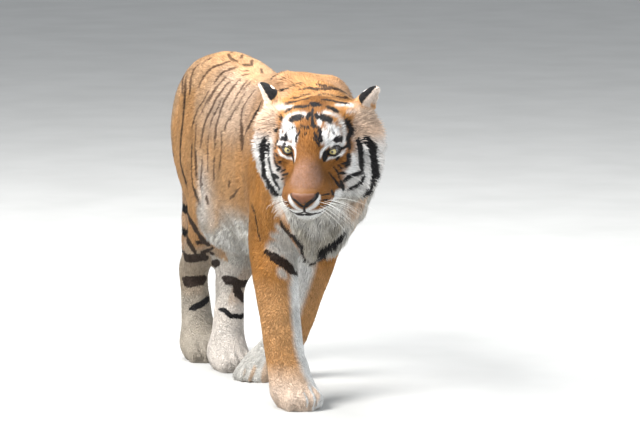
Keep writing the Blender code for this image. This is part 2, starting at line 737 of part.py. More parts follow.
def finish(obj, slot):
    """Gives a piece its material and its shading: smooth, but sharp where it was cut."""
    obj.data.materials.clear()
    obj.data.materials.append(slot)
    obj.data.shade_smooth()
    obj.data.set_sharp_from_angle(angle=math.radians(50))


def stand_at_origin(pieces):
    """Moves the whole animal so that the middle of its bounding box is over the origin and its soles are at 0."""
    corners = np.array([vertex.co for obj in pieces for vertex in obj.data.vertices])
    low, high = corners.min(axis=0), corners.max(axis=0)
    shift = Matrix.Translation((-(low[0] + high[0]) / 2, -(low[1] + high[1]) / 2, -low[2]))
    for obj in pieces:
        obj.data.transform(shift)


def material(name, colour, roughness):
    made = bpy.data.materials.new(name)
    made.use_nodes = True
    shader = made.node_tree.nodes["Principled BSDF"]
    shader.inputs["Base Color"].default_value = (*colour, 1.0)
    shader.inputs["Roughness"].default_value = roughness
    shader.inputs["Metallic"].default_value = 0.0
    return made


def material_for(obj):
    """Each piece has a material of its own, named after it."""
    if obj.name.startswith("eye"):
        return material(obj.name + "_mat", IRIS, 0.1)
    if obj.name == "nose":
        return material("nose_mat", NOSE_LEATHER, 0.45)
    if obj.name in PALE_PIECES:
        return material(obj.name + "_mat", PALE_FUR, 0.85)
    return material(obj.name + "_mat", FUR, 0.85)


clear_scene()
body = whole_body()
pieces = head_parts(body)
pieces += foreleg_parts(body)
pieces += hindleg_parts(body)
pieces += tail_parts(body)
pieces += trunk_parts(body)
for piece in pieces:
    tidied(piece, FINE_GRAIN if piece.name in HEAD_PIECES else GRAIN)
    finish(piece, material_for(piece))
stand_at_origin(pieces)
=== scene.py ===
# %% [markdown]
# # A life-size tiger, its skin, its coat and its eyes
# The solids of the construction give the animal's outline, out to the tips of its hair. This lesson dresses them.
# One smooth skin is drawn inside the solids, and about 300,000 small closed tufts of hair are rooted in it. Skin and
# hair take their colours from the same markings, so a gap between two tufts never shows.

import json
import math

import bmesh
import bpy
import numpy as np
from mathutils import Matrix, Vector
from mathutils.bvhtree import BVHTree

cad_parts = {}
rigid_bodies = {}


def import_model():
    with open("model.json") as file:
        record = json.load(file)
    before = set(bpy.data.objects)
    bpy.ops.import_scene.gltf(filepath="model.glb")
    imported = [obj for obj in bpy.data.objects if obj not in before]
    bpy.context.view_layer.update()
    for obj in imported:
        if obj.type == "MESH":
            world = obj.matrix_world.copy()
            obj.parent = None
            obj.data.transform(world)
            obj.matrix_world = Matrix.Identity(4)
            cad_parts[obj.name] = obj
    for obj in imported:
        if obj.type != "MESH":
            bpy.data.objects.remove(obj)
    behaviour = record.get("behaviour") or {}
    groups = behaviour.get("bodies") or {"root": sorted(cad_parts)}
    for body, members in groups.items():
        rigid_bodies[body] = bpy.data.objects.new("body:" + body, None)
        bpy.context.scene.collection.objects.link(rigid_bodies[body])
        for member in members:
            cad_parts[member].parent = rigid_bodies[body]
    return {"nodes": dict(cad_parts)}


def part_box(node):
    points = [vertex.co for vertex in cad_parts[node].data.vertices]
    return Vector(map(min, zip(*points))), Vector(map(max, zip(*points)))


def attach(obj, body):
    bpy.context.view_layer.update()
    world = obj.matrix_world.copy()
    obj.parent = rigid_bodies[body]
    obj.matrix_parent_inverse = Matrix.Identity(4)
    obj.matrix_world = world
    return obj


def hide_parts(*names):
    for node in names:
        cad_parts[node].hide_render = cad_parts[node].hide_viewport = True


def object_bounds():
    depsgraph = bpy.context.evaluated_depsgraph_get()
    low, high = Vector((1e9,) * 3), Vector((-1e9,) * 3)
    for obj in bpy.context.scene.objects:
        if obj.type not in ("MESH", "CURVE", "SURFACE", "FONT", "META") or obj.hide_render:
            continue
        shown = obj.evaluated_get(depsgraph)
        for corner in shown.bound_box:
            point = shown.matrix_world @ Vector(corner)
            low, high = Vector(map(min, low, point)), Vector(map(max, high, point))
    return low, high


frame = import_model()
CAD_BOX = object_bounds()
NODES = frame["nodes"]
print("solids:", len(NODES))

# %% [markdown]
# ## Two frames of reference
# The head is turned and tilted, so everything on the face is easier to say in the head's own frame: level, facing -Y,
# with its origin just behind the point midway between the eyes. That frame is found from the two eyeballs. The body
# keeps the frame in which it was laid out, in which its joints have simple coordinates.

# %% Frames
HEAD_TURN = [math.radians(t) for t in (16, 1, -31)]  # nose down, leaning, turned to the animal's right
BEHIND_EYES = 0.002  # metres from the point between the eyes to the head's origin
EYES_IN_BODY = Vector((-0.198, -0.563, 0.798))  # that origin in the body's frame


def middle_of(node):
    low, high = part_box(node)
    return (low + high) / 2


turned = Matrix.Rotation(HEAD_TURN[2], 4, "Z") @ Matrix.Rotation(HEAD_TURN[0], 4, "X")
turned = turned @ Matrix.Rotation(HEAD_TURN[1], 4, "Y")
EYE_MIDDLE = {side: middle_of("eye_" + side) for side in ("right", "left")}
HEAD = Matrix.Translation((EYE_MIDDLE["right"] + EYE_MIDDLE["left"]) / 2) @ turned
HEAD = HEAD @ Matrix.Translation((0, BEHIND_EYES, 0))
SHIFT = HEAD.translation - EYES_IN_BODY
print("head at", [round(v, 3) for v in HEAD.translation], "body shifted by", [round(v, 3) for v in SHIFT])


def in_frame(points, matrix):
    """World points, as rows, in the frame of a matrix."""
    inverse = np.array(matrix.inverted())
    return points @ inverse[:3, :3].T + inverse[:3, 3]


def in_head(points):
    return in_frame(points, HEAD)


def in_body(points):
    return points - np.array(SHIFT)


def head_spot(point):
    """The place in the world of a point given in millimetres in the head's frame."""
    return HEAD @ (Vector(point) / 1000)


def body_spot(point):
    """The same for a point in the body's frame."""
    return Vector(point) / 1000 + SHIFT


def unit(rows):
    return rows / np.maximum(np.linalg.norm(rows, axis=-1, keepdims=True), 1e-12)


def step(low, high, value):
    """0 at low and before it, 1 at high and past it, and a smooth change between. Low may be the larger number."""
    t = np.clip((value - low) / (high - low), 0, 1)
    return t * t * (3 - 2 * t)


# %% [markdown]
# ## One skin for the whole animal
# A living animal has no seams, so the touching solids have to become one closed surface. A Boolean union would keep
# their creases and flat faces, and sculpting leaves no numbers behind, so a voxel remesh does it. A single grain
# would be too coarse for the ears or too heavy for the trunk, so the head is remeshed finely and the body coarsely.
# Both are cut by the same plane through the neck, and the two open rims are bridged.

# %% Remesh the solids
BODY_GRAIN = 0.0084
HEAD_GRAIN = 0.0037
HEAD_NODES = ("head", "lower_jaw", "nose", "ear_right", "ear_left", "eye_right", "eye_left", "neck")
BARE = ("eye_right", "eye_left", "nose")
FLESH = [name for name in sorted(NODES) if name not in BARE]


def joined_copy(names):
    work = bmesh.new()
    for name in names:
        work.from_mesh(NODES[name].data)
    bmesh.ops.remove_doubles(work, verts=work.verts, dist=1e-6)
    mesh = bpy.data.meshes.new("copy")
    work.to_mesh(mesh)
    work.free()
    return mesh


def remeshed(names, grain):
    """The named solids as one closed mesh of small squares."""
    obj = bpy.data.objects.new("clay", joined_copy(names))
    bpy.context.scene.collection.objects.link(obj)
    melt = obj.modifiers.new("melt", "REMESH")
    melt.mode = "VOXEL"
    melt.voxel_size = grain
    graph = bpy.context.evaluated_depsgraph_get()
    mesh = bpy.data.meshes.new_from_object(obj.evaluated_get(graph))
    bpy.data.objects.remove(obj)
    return mesh


coarse_mesh = remeshed(sorted(NODES), BODY_GRAIN)
fine_mesh = remeshed(HEAD_NODES, HEAD_GRAIN)
print("body:", len(coarse_mesh.vertices), "points, head:", len(fine_mesh.vertices), "points")

# %% Cut both at the neck
CUT_BEHIND_EYES = 0.205  # the plane through the neck, in the head's frame
CUT_REACH, CUT_FLOOR = 0.42, 0.45  # only faces this near the head's origin, and higher than this, are cut
BROW = (0, -0.02, 0.06)  # a place on the head's half, in its frame


def grown_from(start, neighbours):
    """Everything that hangs together with the start."""
    part, front = {start}, [start]
    while front:
        for other in neighbours(front.pop()):
            if other not in part:
                part.add(other)
                front.append(other)
    return part


def largest_part(work):
    seen, best = set(), set()
    for start in work.verts:
        if start not in seen:
            part = grown_from(start, lambda vertex: [edge.other_vert(vertex) for edge in vertex.link_edges])
            seen |= part
            best = max(best, part, key=len)
    return best


def head_side(work, point, normal):
    """The faces that lie before the plane and hang together with the brow."""
    ahead = {f for f in work.faces if (f.calc_center_median() - point).dot(normal) < 0}
    brow = HEAD @ Vector(BROW)
    start = min(ahead, key=lambda f: (f.calc_center_median() - brow).length_squared)
    return grown_from(start, lambda face: [f for edge in face.edges for f in edge.link_faces if f in ahead])


def near_neck(face):
    middle = face.calc_center_median()
    return (middle - HEAD.translation).length < CUT_REACH and middle.z > CUT_FLOOR


def cut_half(mesh, keep_head):
    """Cuts the mesh at the neck's plane and keeps the half with the head, or the rest of the animal."""
    work = bmesh.new()
    work.from_mesh(mesh)
    biggest = largest_part(work)
    bmesh.ops.delete(work, geom=[v for v in work.verts if v not in biggest], context="VERTS")
    normal = HEAD.to_3x3() @ Vector((0, 1, 0))
    point = HEAD @ Vector((0, CUT_BEHIND_EYES, 0))
    geom = list({g for f in work.faces if near_neck(f) for g in (*f.verts, *f.edges, f)})
    bmesh.ops.bisect_plane(work, geom=geom, plane_co=point, plane_no=normal, dist=1e-5)
    head = head_side(work, point, normal)
    bmesh.ops.delete(work, geom=[f for f in work.faces if (f in head) != keep_head], context="FACES")
    return work


coarse = cut_half(coarse_mesh, keep_head=False)
fine = cut_half(fine_mesh, keep_head=True)
fine.to_mesh(fine_mesh)
fine.free()
coarse.from_mesh(fine_mesh)
bmesh.ops.bridge_loops(coarse, edges=[edge for edge in coarse.edges if edge.is_boundary])
bmesh.ops.triangulate(coarse, faces=[f for f in coarse.faces if len(f.verts) > 4])
bmesh.ops.recalc_face_normals(coarse, faces=coarse.faces)
open_edges = sum(not edge.is_manifold for edge in coarse.edges)
skin_mesh = bpy.data.meshes.new("skin")
coarse.to_mesh(skin_mesh)
coarse.free()
print("skin:", len(skin_mesh.vertices), "points,", len(skin_mesh.polygons), "faces,", open_edges, "open edges")

# %% [markdown]
# ## What grows where
# The skin lies under the solids' surface by the depth of the coat, and that depth, like the hair's length and the way
# it lies, changes over the animal: a few millimetres on the nose and paws, centimetres in the ruff and on the belly.
# They could be painted on by hand. Here each point of the skin takes them from the solid it lies under, which needs
# no brush, and averaging every point with its neighbours, many times over, makes one kind of coat pass softly into
# the next.

# %% Neighbours
def points_of(mesh):
    rows = np.empty(len(mesh.vertices) * 3)
    mesh.vertices.foreach_get("co", rows)
    return rows.reshape(-1, 3)


def normals_of(mesh):
    rows = np.empty(len(mesh.vertices) * 3, np.float32)
    mesh.vertex_normals.foreach_get("vector", rows)
    return rows.reshape(-1, 3).astype(float)


def put_points(mesh, rows):
    mesh.vertices.foreach_set("co", rows.astype(np.float32).ravel())
    mesh.update()


def links_of(mesh):
    """Every edge both ways round, as rows of two points, and the number of edges at each point."""
    ends = np.empty(len(mesh.edges) * 2, np.int32)
    mesh.edges.foreach_get("vertices", ends)
    ends = ends.reshape(-1, 2)
    both = np.concatenate([ends, ends[:, ::-1]])
    return both, np.maximum(np.bincount(both[:, 0], minlength=len(mesh.vertices)), 1)


def neighbour_mean(rows, links):
    both, count = links
    columns = [np.bincount(both[:, 0], weights=column[both[:, 1]], minlength=len(rows)) for column in rows.T]
    return np.stack(columns, axis=1) / count[:, None]


SKIN_LINKS = links_of(skin_mesh)


def softened(rows, rounds, share=0.5, links=SKIN_LINKS):
    """Draws each row a share of the way towards the mean of its neighbours, so many times over."""
    for _ in range(rounds):
        rows = rows + (neighbour_mean(rows, links) - rows) * share
    return rows


print("edges of the skin:", len(skin_mesh.edges))

# %% The coat's table
TRUNK = ("chest", "loin", "rump")
COATS = {  # depth, hair length and tuft width in millimetres, lift in degrees, tufts per square metre
    "ear": (1.2, 9, 1.9, 10, 230000),
    "neck": (9, 28, 3.4, 17, 95000),
    **dict.fromkeys(TRUNK, (7, 17, 2.9, 17, 105000)),
    "foreleg_upper": (6, 18, 3.0, 14, 95000),
    "foreleg_lower": (4.5, 13, 2.6, 14, 110000),
    "forepaw": (2.8, 8, 2.2, 13, 140000),
    "hindleg_upper": (6, 16, 2.8, 16, 98000),
    "hindleg_lower": (4.5, 13, 2.6, 14, 110000),
    "hindpaw": (2.8, 8, 2.2, 13, 140000),
    "tail": (7, 18, 2.8, 16, 95000),
}
LONG_COAT = np.array((13, 44, 4.0, 27, 80000))  # of the breast, the throat and the belly
NOSE_TIP = np.array((0, -0.168, -0.084))  # in the head's frame
FACE_STEPS = (0.03, 0.08, 0.13, 0.18, 0.23, 0.29)  # metres from the tip of the nose
FACE_COAT = np.array(((1.0, 4, 1.5, 12, 260000), (1.6, 6, 1.7, 12, 260000), (2.6, 8, 1.9, 13, 240000),
                      (4.5, 14, 2.3, 15, 200000), (9, 26, 3.0, 18, 140000), (14, 42, 3.6, 22, 110000)))
LEGS = {  # the way the hair lies
    "foreleg_upper": (0, 0.40, -0.95),
    "foreleg_lower": (0, 0.12, -1),
    "hindleg_upper": (0, 0.55, -0.85),
    "hindleg_lower": (0, 0.20, -1),
}
PAWS = {  # place on the floor in the body's frame, half width, degrees of turn and of lift
    "forepaw_right": ((-0.128, -0.262, 0.0), 0.065, 6, 0),
    "forepaw_left": ((-0.033, 0.300, 0.0), 0.065, -55, 14),
    "hindpaw_right": ((-0.066, 0.725, 0.0), 0.060, -4, 0),
    "hindpaw_left": ((-0.056, 0.500, 0.0), 0.060, 2, 0),
}
TAIL = np.array(((-0.005, 0.830, 0.860), (-0.010, 0.930, 0.800), (-0.002, 1.000, 0.690), (0.012, 1.040, 0.560),
                 (0.018, 1.070, 0.430), (0.032, 1.120, 0.310), (0.057, 1.200, 0.235), (0.082, 1.290, 0.225),
                 (0.107, 1.365, 0.265)))
TAIL_WAYS = unit(np.diff(TAIL, axis=0))
print("kinds in the table:", len(COATS))

# %% Depth and lie
def solid_under(points):
    """For each point, the name of the solid whose surface is nearest."""
    corners, triangles, owner = [], [], []
    for name in sorted(NODES):
        mesh = NODES[name].data
        mesh.calc_loop_triangles()
        triangles += [tuple(i + len(corners) for i in t.vertices) for t in mesh.loop_triangles]
        owner += [name] * len(mesh.loop_triangles)
        corners += [tuple(v.co) for v in mesh.vertices]
    tree = BVHTree.FromPolygons(corners, triangles)
    return np.array([owner[tree.find_nearest(p)[2]] for p in points])


def kind_of(name):
    return next((kind for kind in COATS if name.startswith(kind)), "head")


def face_coat(spots):
    """Depth, length, width, lift and density on the head, from how far a spot is from the tip of the nose."""
    away = np.linalg.norm(spots - NOSE_TIP, axis=1)
    crown = step(0.03, 0.09, spots[:, 2])
    away = np.minimum(away, 0.30 - 0.10 * crown)
    return np.stack([np.interp(away, FACE_STEPS, column) for column in FACE_COAT.T], axis=1)


def face_lie(spots):
    """On the face the hair grows away from the nose, and in the ruff it also hangs."""
    flow = unit(spots - NOSE_TIP)
    away = np.linalg.norm(spots - NOSE_TIP, axis=1)
    hang = step(0.17, 0.27, away) * (1 - step(0.02, 0.10, spots[:, 2]))
    flow[:, 2] -= 0.75 * hang
    flow[:, 1] += 0.35 * hang
    return flow


def paw_lie(turn):
    """Down, and forwards to the toes of a paw turned by so many degrees."""
    angle = math.radians(turn)
    return (math.sin(angle) * 0.85, -math.cos(angle) * 0.85, -0.55)


def tail_span(spots):
    """Which length of the tail is nearest to each spot."""
    middles = (TAIL[1:] + TAIL[:-1]) / 2
    return np.argmin(np.linalg.norm(spots[:, None] - middles[None], axis=2), axis=1)


def trunk_lie(spots, normals):
    """Back along the body, sinking on the flank; on the breast and under the belly it hangs."""
    flow = np.tile((0.0, 1.0, -0.12), (len(spots), 1))
    flow[:, 2] -= 0.50 * step(0.0, 0.9, np.abs(normals[:, 0]))
    breast = step(0.15, 0.7, -normals[:, 1]) * step(0.05, -0.12, spots[:, 1])
    belly = step(0.3, 0.8, -normals[:, 2])
    flow[:, 1] -= 0.75 * breast
    flow[:, 2] -= 0.9 * breast + 0.8 * belly
    return flow


POINTS = softened(points_of(skin_mesh), 6)
put_points(skin_mesh, POINTS)
NORMALS = normals_of(skin_mesh)
OWNER = solid_under(POINTS)
KIND = np.array([kind_of(name) for name in OWNER])
FACE_SPOTS, BODY_SPOTS = in_head(POINTS), in_body(POINTS)
coat = np.zeros((len(POINTS), 5))
lie = np.zeros((len(POINTS), 3))
for kind, values in COATS.items():
    coat[KIND == kind] = values
for kind in ("neck", *TRUNK):
    here = KIND == kind
    lie[here] = trunk_lie(BODY_SPOTS[here], NORMALS[here])
for kind, way in LEGS.items():
    lie[KIND == kind] = way
for name, (_, _, turn, _) in PAWS.items():
    lie[OWNER == name] = paw_lie(turn)
here = KIND == "tail"
lie[here] = TAIL_WAYS[tail_span(BODY_SPOTS[here])]
here = KIND == "head"
coat[here] = face_coat(FACE_SPOTS[here])
lie[here] = face_lie(FACE_SPOTS[here]) @ np.array(HEAD)[:3, :3].T
for side, name in ((-1, "ear_right"), (1, "ear_left")):
    lie[OWNER == name] = np.array(HEAD.to_3x3() @ Vector((side * 0.55, 0.05, 0.8)))

breast = step(0.1, 0.6, -NORMALS[:, 1]) * step(0.02, -0.14, BODY_SPOTS[:, 1]) * np.isin(KIND, ("chest", "neck"))
belly = step(0.25, 0.75, -NORMALS[:, 2]) * np.isin(KIND, TRUNK)
long_hair = np.maximum(breast, belly)[:, None]
coat = coat * (1 - long_hair) + LONG_COAT * long_hair
coat, lie = softened(coat, 14), softened(lie, 24)
DEPTH, LENGTH, WIDTH = coat[:, 0] / 1000, coat[:, 1] / 1000, coat[:, 2] / 1000
LIFT, DENSITY = np.radians(coat[:, 3]), coat[:, 4]
print("kinds of coat:", {kind: int((KIND == kind).sum()) for kind in sorted(set(KIND))})

# %% [markdown]
# ## The skin's own surface
# The points move in along their normals by the coat's depth. The soles stay on the floor, because the animal stands
# on them. A last round of softening takes out the marks of the voxels and of the solids' flat faces, less so on the
# paws and the face, whose small forms it would wash away.

# %% Draw the skin in
firm = softened(np.isin(KIND, ("forepaw", "hindpaw", "ear", "head"))[:, None].astype(float), 6)
settled = softened(POINTS, 26, 0.55 - 0.43 * firm)
put_points(skin_mesh, settled)
NORMALS = normals_of(skin_mesh)
sole = 1 - step(0.004, 0.020, POINTS[:, 2])
settled = softened(settled - NORMALS * (DEPTH * (1 - sole))[:, None], 3, 0.4)
settled[:, 2] = np.where(sole > 0.999, 0.0, np.maximum(settled[:, 2], 0.0))
POINTS = settled
put_points(skin_mesh, POINTS)
NORMALS = normals_of(skin_mesh)
LIE = unit(lie - NORMALS * np.sum(lie * NORMALS, axis=1, keepdims=True))
print("skin drawn in by", round(DEPTH.min() * 1000, 1), "to", round(DEPTH.max() * 1000, 1), "mm")

# %% [markdown]
# ## Folds and toes
# A big cat's skin is loose. It falls in folds behind the shoulder, before the thigh and on the neck, and grooves part
# its toes. A bump map would shade them but leave the outline smooth. So each fold is a line laid on the skin, and
# the points near it sink by a smooth profile.

# %% Lines laid on the skin
def along_chain(spots, points):
    """How far each spot lies from a chain of points, and where along the chain, from 0 to 1, it is nearest."""
    best, where = np.full(len(spots), 9.0), np.zeros(len(spots))
    spans = np.linalg.norm(np.diff(points, axis=0), axis=1)
    run = np.concatenate([[0], np.cumsum(spans)])
    for a, b, span, start in zip(points, points[1:], spans, run):
        t = np.clip((spots - a) @ (b - a) / max(span * span, 1e-9), 0, 1)
        away = np.linalg.norm(spots - a - t[:, None] * (b - a), axis=1)
        nearer = away < best
        best, where = np.where(nearer, away, best), np.where(nearer, (start + t * span) / run[-1], where)
    return best, where


def skin_tree():
    return BVHTree.FromPolygons([tuple(p) for p in POINTS], [tuple(p.vertices) for p in skin_mesh.polygons])


def laid(points):
    return np.array([tuple(SKIN_TREE.find_nearest(p)[0]) for p in points])


SKIN_TREE = skin_tree()
print("points of the skin:", len(POINTS))

# %% Sink the folds
FOLDS = {  # width and depth, then points; millimetres in the body's frame, on the right side
    "behind the shoulder": (75, 10, (-95, 125, 905), (-150, 122, 820), (-165, 125, 720), (-165, 135, 640),
                            (-150, 142, 560), (-125, 130, 490)),
    "before the thigh": (60, 9, (-150, 535, 690), (-152, 515, 610), (-145, 490, 540), (-120, 480, 490)),
    "before the shoulder": (50, 7, (-120, -110, 880), (-165, -100, 780), (-185, -95, 680), (-178, -120, 580)),
    "throat": (40, 6, (-150, -190, 800), (-160, -200, 700), (-140, -215, 600), (-100, -230, 520)),
    "behind the elbow": (34, 6, (-165, 60, 560), (-168, 40, 500), (-150, 20, 440)),
    "rump": (60, 6, (-110, 760, 840), (-130, 745, 740), (-130, 740, 640)),
}
FACE_FOLDS = {  # the same, in the head's frame
    "side of the bridge": (16, 2.6, (-40, -34, -22), (-36, -62, -42), (-37, -92, -60), (-41, -122, -78)),
    "behind the lips": (22, 3.5, (-66, -52, -62), (-72, -66, -88), (-74, -76, -112), (-72, -84, -132)),
    "under the eye": (12, 1.8, (-92, -2, -20), (-76, -20, -34), (-54, -36, -40)),
    "over the eye": (14, 2.2, (-88, 12, 18), (-70, -6, 28), (-50, -14, 34)),
    "middle of the brow": (12, 1.8, (0, -14, 52), (0, 8, 72), (0, 36, 88)),
}
GROOVE = ((0.76, -0.050, 0.004), (0.76, -0.044, 0.026), (0.70, -0.016, 0.052), (0.62, 0.018, 0.074))  # up a paw
GROOVE_DEPTH, GROOVE_REACH = 0.0075, 0.013
TOE_GROOVES = []
for place, half_width, turn, tip_up in PAWS.values():
    paw = Matrix.Translation(Vector(place) + SHIFT) @ Matrix.Rotation(math.radians(turn), 4, "Z")
    paw = paw @ Matrix.Rotation(math.radians(tip_up), 4, "X")
    for part in (-0.667, 0.0, 0.667):  # three grooves part four toes
        ahead = -0.056 + 0.024 * part ** 2
        TOE_GROOVES.append([paw @ Vector((part * half_width * x, ahead + y, z)) for x, y, z in GROOVE])
sunk = np.zeros(len(POINTS))
for folds, placed in ((FOLDS, body_spot), (FACE_FOLDS, head_spot)):
    for width, depth, *points in folds.values():
        for side in (-1, 1):
            away, where = along_chain(POINTS, laid([placed((-side * x, y, z)) for x, y, z in points]))
            ends = np.minimum(1, 4 * np.minimum(where, 1 - where))
            sunk = np.maximum(sunk, depth / 1000 * ends * (1 - step(0.0, width / 2000, away)))
for points in TOE_GROOVES:
    away, where = along_chain(POINTS, laid(points))
    sunk = np.maximum(sunk, GROOVE_DEPTH * (1 - step(0.001, GROOVE_REACH, away)) * step(1.0, 0.6, where))
POINTS = POINTS - NORMALS * sunk[:, None]
POINTS[:, 2] = np.maximum(POINTS[:, 2], 0.0)
put_points(skin_mesh, POINTS)
NORMALS = normals_of(skin_mesh)
SKIN_TREE = skin_tree()
print("deepest fold", round(sunk.max() * 1000, 1), "mm")

# %% [markdown]
# ## The markings
# A tiger's stripes are bands of dark hair, and no two animals share a pattern. Each stripe here is a line with a
# name, a width and a few points, given in the head's frame or in the body's. A spot is dark when it lies closer to a
# line than half of that line's width, and the width runs out at both ends. A painted image is the usual way, but it
# blurs close by and shows its seams. Lines have no grid and no grain, so their edges stay sharp at any size, and hair
# and skin can both be coloured by the same rule. White patches are drawn so too, each with a strength as well.

# %% Stripes of the face
FACE_LINES = {  # width, then points in millimetres in the head's frame: across, back, up
    "crown arm": (12.2, (-16, 87, 107), (-1, 76, 106), (23, 71, 104)),
    "bridge streak a": (6.8, (-28, -12, 59), (-37, -20, 47), (-40, -28, 29)),
    "bridge streak b": (7.2, (12, -16, 56), (25, -26, 43), (31, -31, 30)),
    "bridge streak c": (7.6, (23, -11, 60), (34, -22, 45), (35, -29, 32)),
    "bridge streak d": (6.8, (12, -26, 45), (23, -32, 33), (31, -36, 20)),
    "bridge spot": (10.5, (-14, -19, 54), (-11, -20, 52)),
    "cheek tick a": (9.7, (-106, 14, -80), (-90, 2, -62)),
    "cheek tick b": (8.0, (-88, 7, -91), (-66, -22, -71)),
    "cheek tick c": (7.6, (-95, -2, -46), (-87, -9, -40)),
    "eye side b": (11.3, (88, -8, -40), (104, 4, -41)),
    "eye side c": (9.7, (81, -1, -73), (96, 8, -78)),
    "eye side d": (7.2, (71, -13, -30), (83, -11, -17)),
    "eye corner outer": (9.7, (83, -4, 5), (100, 19, 1)),
    "eye corner right": (14.6, (-54, -22, -9), (-50, -26, -20), (-44, -42, -29)),
    "eye corner left": (19.6, (51, -25, -9), (44, -41, -19)),
    "nose edge right": (10.5, (-36, -148, -80), (-28, -159, -90), (-12, -163, -103), (1, -157, -117)),
    "nose edge left": (13.0, (42, -140, -78), (34, -155, -89), (17, -162, -102), (3, -156, -117)),
    "philtrum": (7.2, (2, -156, -118), (1, -145, -136)),
    "whisker tick": (7.2, (-124, 68, -167), (-112, 72, -180)),
    "brow bar right": (21.5, (-67, 39, 69), (-47, 30, 80), (-26, 23, 86)),
    "brow bar left": (23.6, (22, 26, 88), (39, 29, 83), (58, 32, 73)),
    "crown spot": (25.6, (-6, 77, 107), (11, 72, 105)),
    "crown arc right": (11.4, (-92, 84, 74), (-72, 79, 87), (-54, 76, 95), (-31, 67, 101), (-12, 67, 104)),
    "crown arc left": (14.4, (35, 73, 101), (54, 72, 94), (69, 70, 86)),
    "centre line": (8.3, (-2, 54, 101), (1, 21, 88), (5, 1, 73), (11, -7, 66)),
    "centre bar right": (13.4, (-8, 35, 94), (-12, 15, 84)),
    "centre bar left": (12.4, (11, 33, 94), (18, 18, 85)),
    "chevron right": (7.8, (-44, -5, 57), (-27, -1, 68), (-7, -6, 67), (4, 0, 72)),
    "chevron left": (7.8, (6, 1, 73), (23, -4, 66), (33, -11, 57)),
    "lid arc right": (9.3, (-67, -12, 34), (-72, 9, 42), (-64, 12, 52), (-48, 5, 61)),
    "lid arc left": (9.3, (45, 1, 61), (59, 8, 54), (68, 3, 44)),
    "lid blot right": (14.4, (-98, 39, 13), (-67, -14, 30)),
    "lid blot left": (19.5, (70, -10, 31), (87, 22, 25)),
    "temple spot a": (17.5, (-122, 76, 17), (-113, 73, 25)),
    "temple spot b": (17.5, (-104, 79, 55), (-96, 77, 63)),
    "temple stripe left": (18.5, (88, 72, 69), (98, 70, 49), (106, 69, 29), (100, 44, 13), (106, 19, -9)),
    "temple blot left": (24.6, (103, 66, 33), (108, 69, 25)),
    "cheek line right": (12.4, (-108, 50, 3), (-108, 30, -7), (-112, 17, -30), (-108, 13, -55), (-94, 6, -71)),
    "ruff band right": (25.6, (-151, 86, -6), (-160, 86, -37), (-160, 83, -77), (-153, 84, -124),
        (-138, 73, -156), (-120, 74, -177)),
    "cheek band right": (14.4, (-139, 77, -11), (-142, 69, -38), (-134, 47, -71), (-127, 38, -94),
        (-116, 47, -134), (-107, 55, -158)),
    "cheek blot right": (19.5, (-122, 36, -102), (-104, 19, -101)),
    "cheek band left": (21.5, (128, 74, 4), (132, 64, -26), (135, 52, -62), (137, 53, -86)),
    "ruff band left": (24.6, (149, 88, 4), (161, 90, -26), (167, 91, -68), (162, 109, -122), (149, 104, -155),
        (135, 93, -177)),
    "cheek loop a": (14.4, (137, 56, -91), (120, 29, -87), (102, 15, -92), (89, 14, -108)),
    "cheek loop b": (14.4, (141, 63, -99), (136, 62, -121), (120, 50, -132), (95, 39, -142)),
    "cheek loop c": (10.3, (81, 4, -99), (85, 20, -124), (85, 29, -141)),
    "cheek tick d": (9.3, (62, -35, -69), (72, -9, -99), (80, 18, -129)),
    "eye side a": (18.5, (105, 8, -15), (107, 7, -35), (99, 5, -55)),
    "whisker blot": (17.5, (71, -89, -94), (73, -67, -111)),
    "lip under right": (9.3, (-29, -129, -150), (-15, -136, -149), (-1, -140, -146)),
    "lip under left": (9.3, (-1, -140, -146), (15, -136, -148), (34, -131, -144)),
    "cheek fine a": (6.2, (65, -14, -49), (76, -6, -69), (80, 2, -96)),
    "cheek fine b": (6.2, (77, -10, -45), (88, 0, -62)),
    "cheek fine c": (5.7, (56, -33, -58), (67, -28, -78), (71, -10, -105)),
    "cheek fine d": (5.7, (-95, 8, -82), (-77, -6, -67)),
    "cheek fine e": (5.7, (-96, 19, -111), (-72, -12, -86)),
    "cheek fine f": (5.7, (-103, 47, -148), (-61, -94, -77)),
    "cheek fine g": (5.7, (-104, 4, -20), (-94, -9, -31)),
    "cheek fine h": (5.7, (-102, 4, -46), (-87, -6, -48)),
    "whisker line a": (5.7, (49, -138, -85), (66, -112, -92), (67, -3, -129)),
    "whisker line b": (5.7, (46, -146, -98), (63, -125, -104), (65, -4, -145)),
    "whisker line c": (5.7, (44, -147, -113), (62, -117, -125), (57, 53, -185)),
    "whisker line d": (5.7, (-110, 87, -190), (-56, -133, -92)),
    "whisker line e": (5.7, (-66, -116, -115), (-44, -148, -109)),
    "whisker line f": (5.7, (-58, -120, -129), (-38, -143, -128)),
    "mouth end left": (6.2, (28, -91, -176), (40, -75, -169)),
    "tear right": (11.1, (-56, -20, -2), (-51, -25, -12), (-52, -24, -26)),
    "tear left": (16.2, (49, -26, 3), (44, -35, -7), (43, -43, -17)),
    "lid line right": (7.3, (-101, 13, -4), (-83, -4, 5)),
    "lid line left": (7.9, (79, -8, 6), (95, 10, 2)),
}
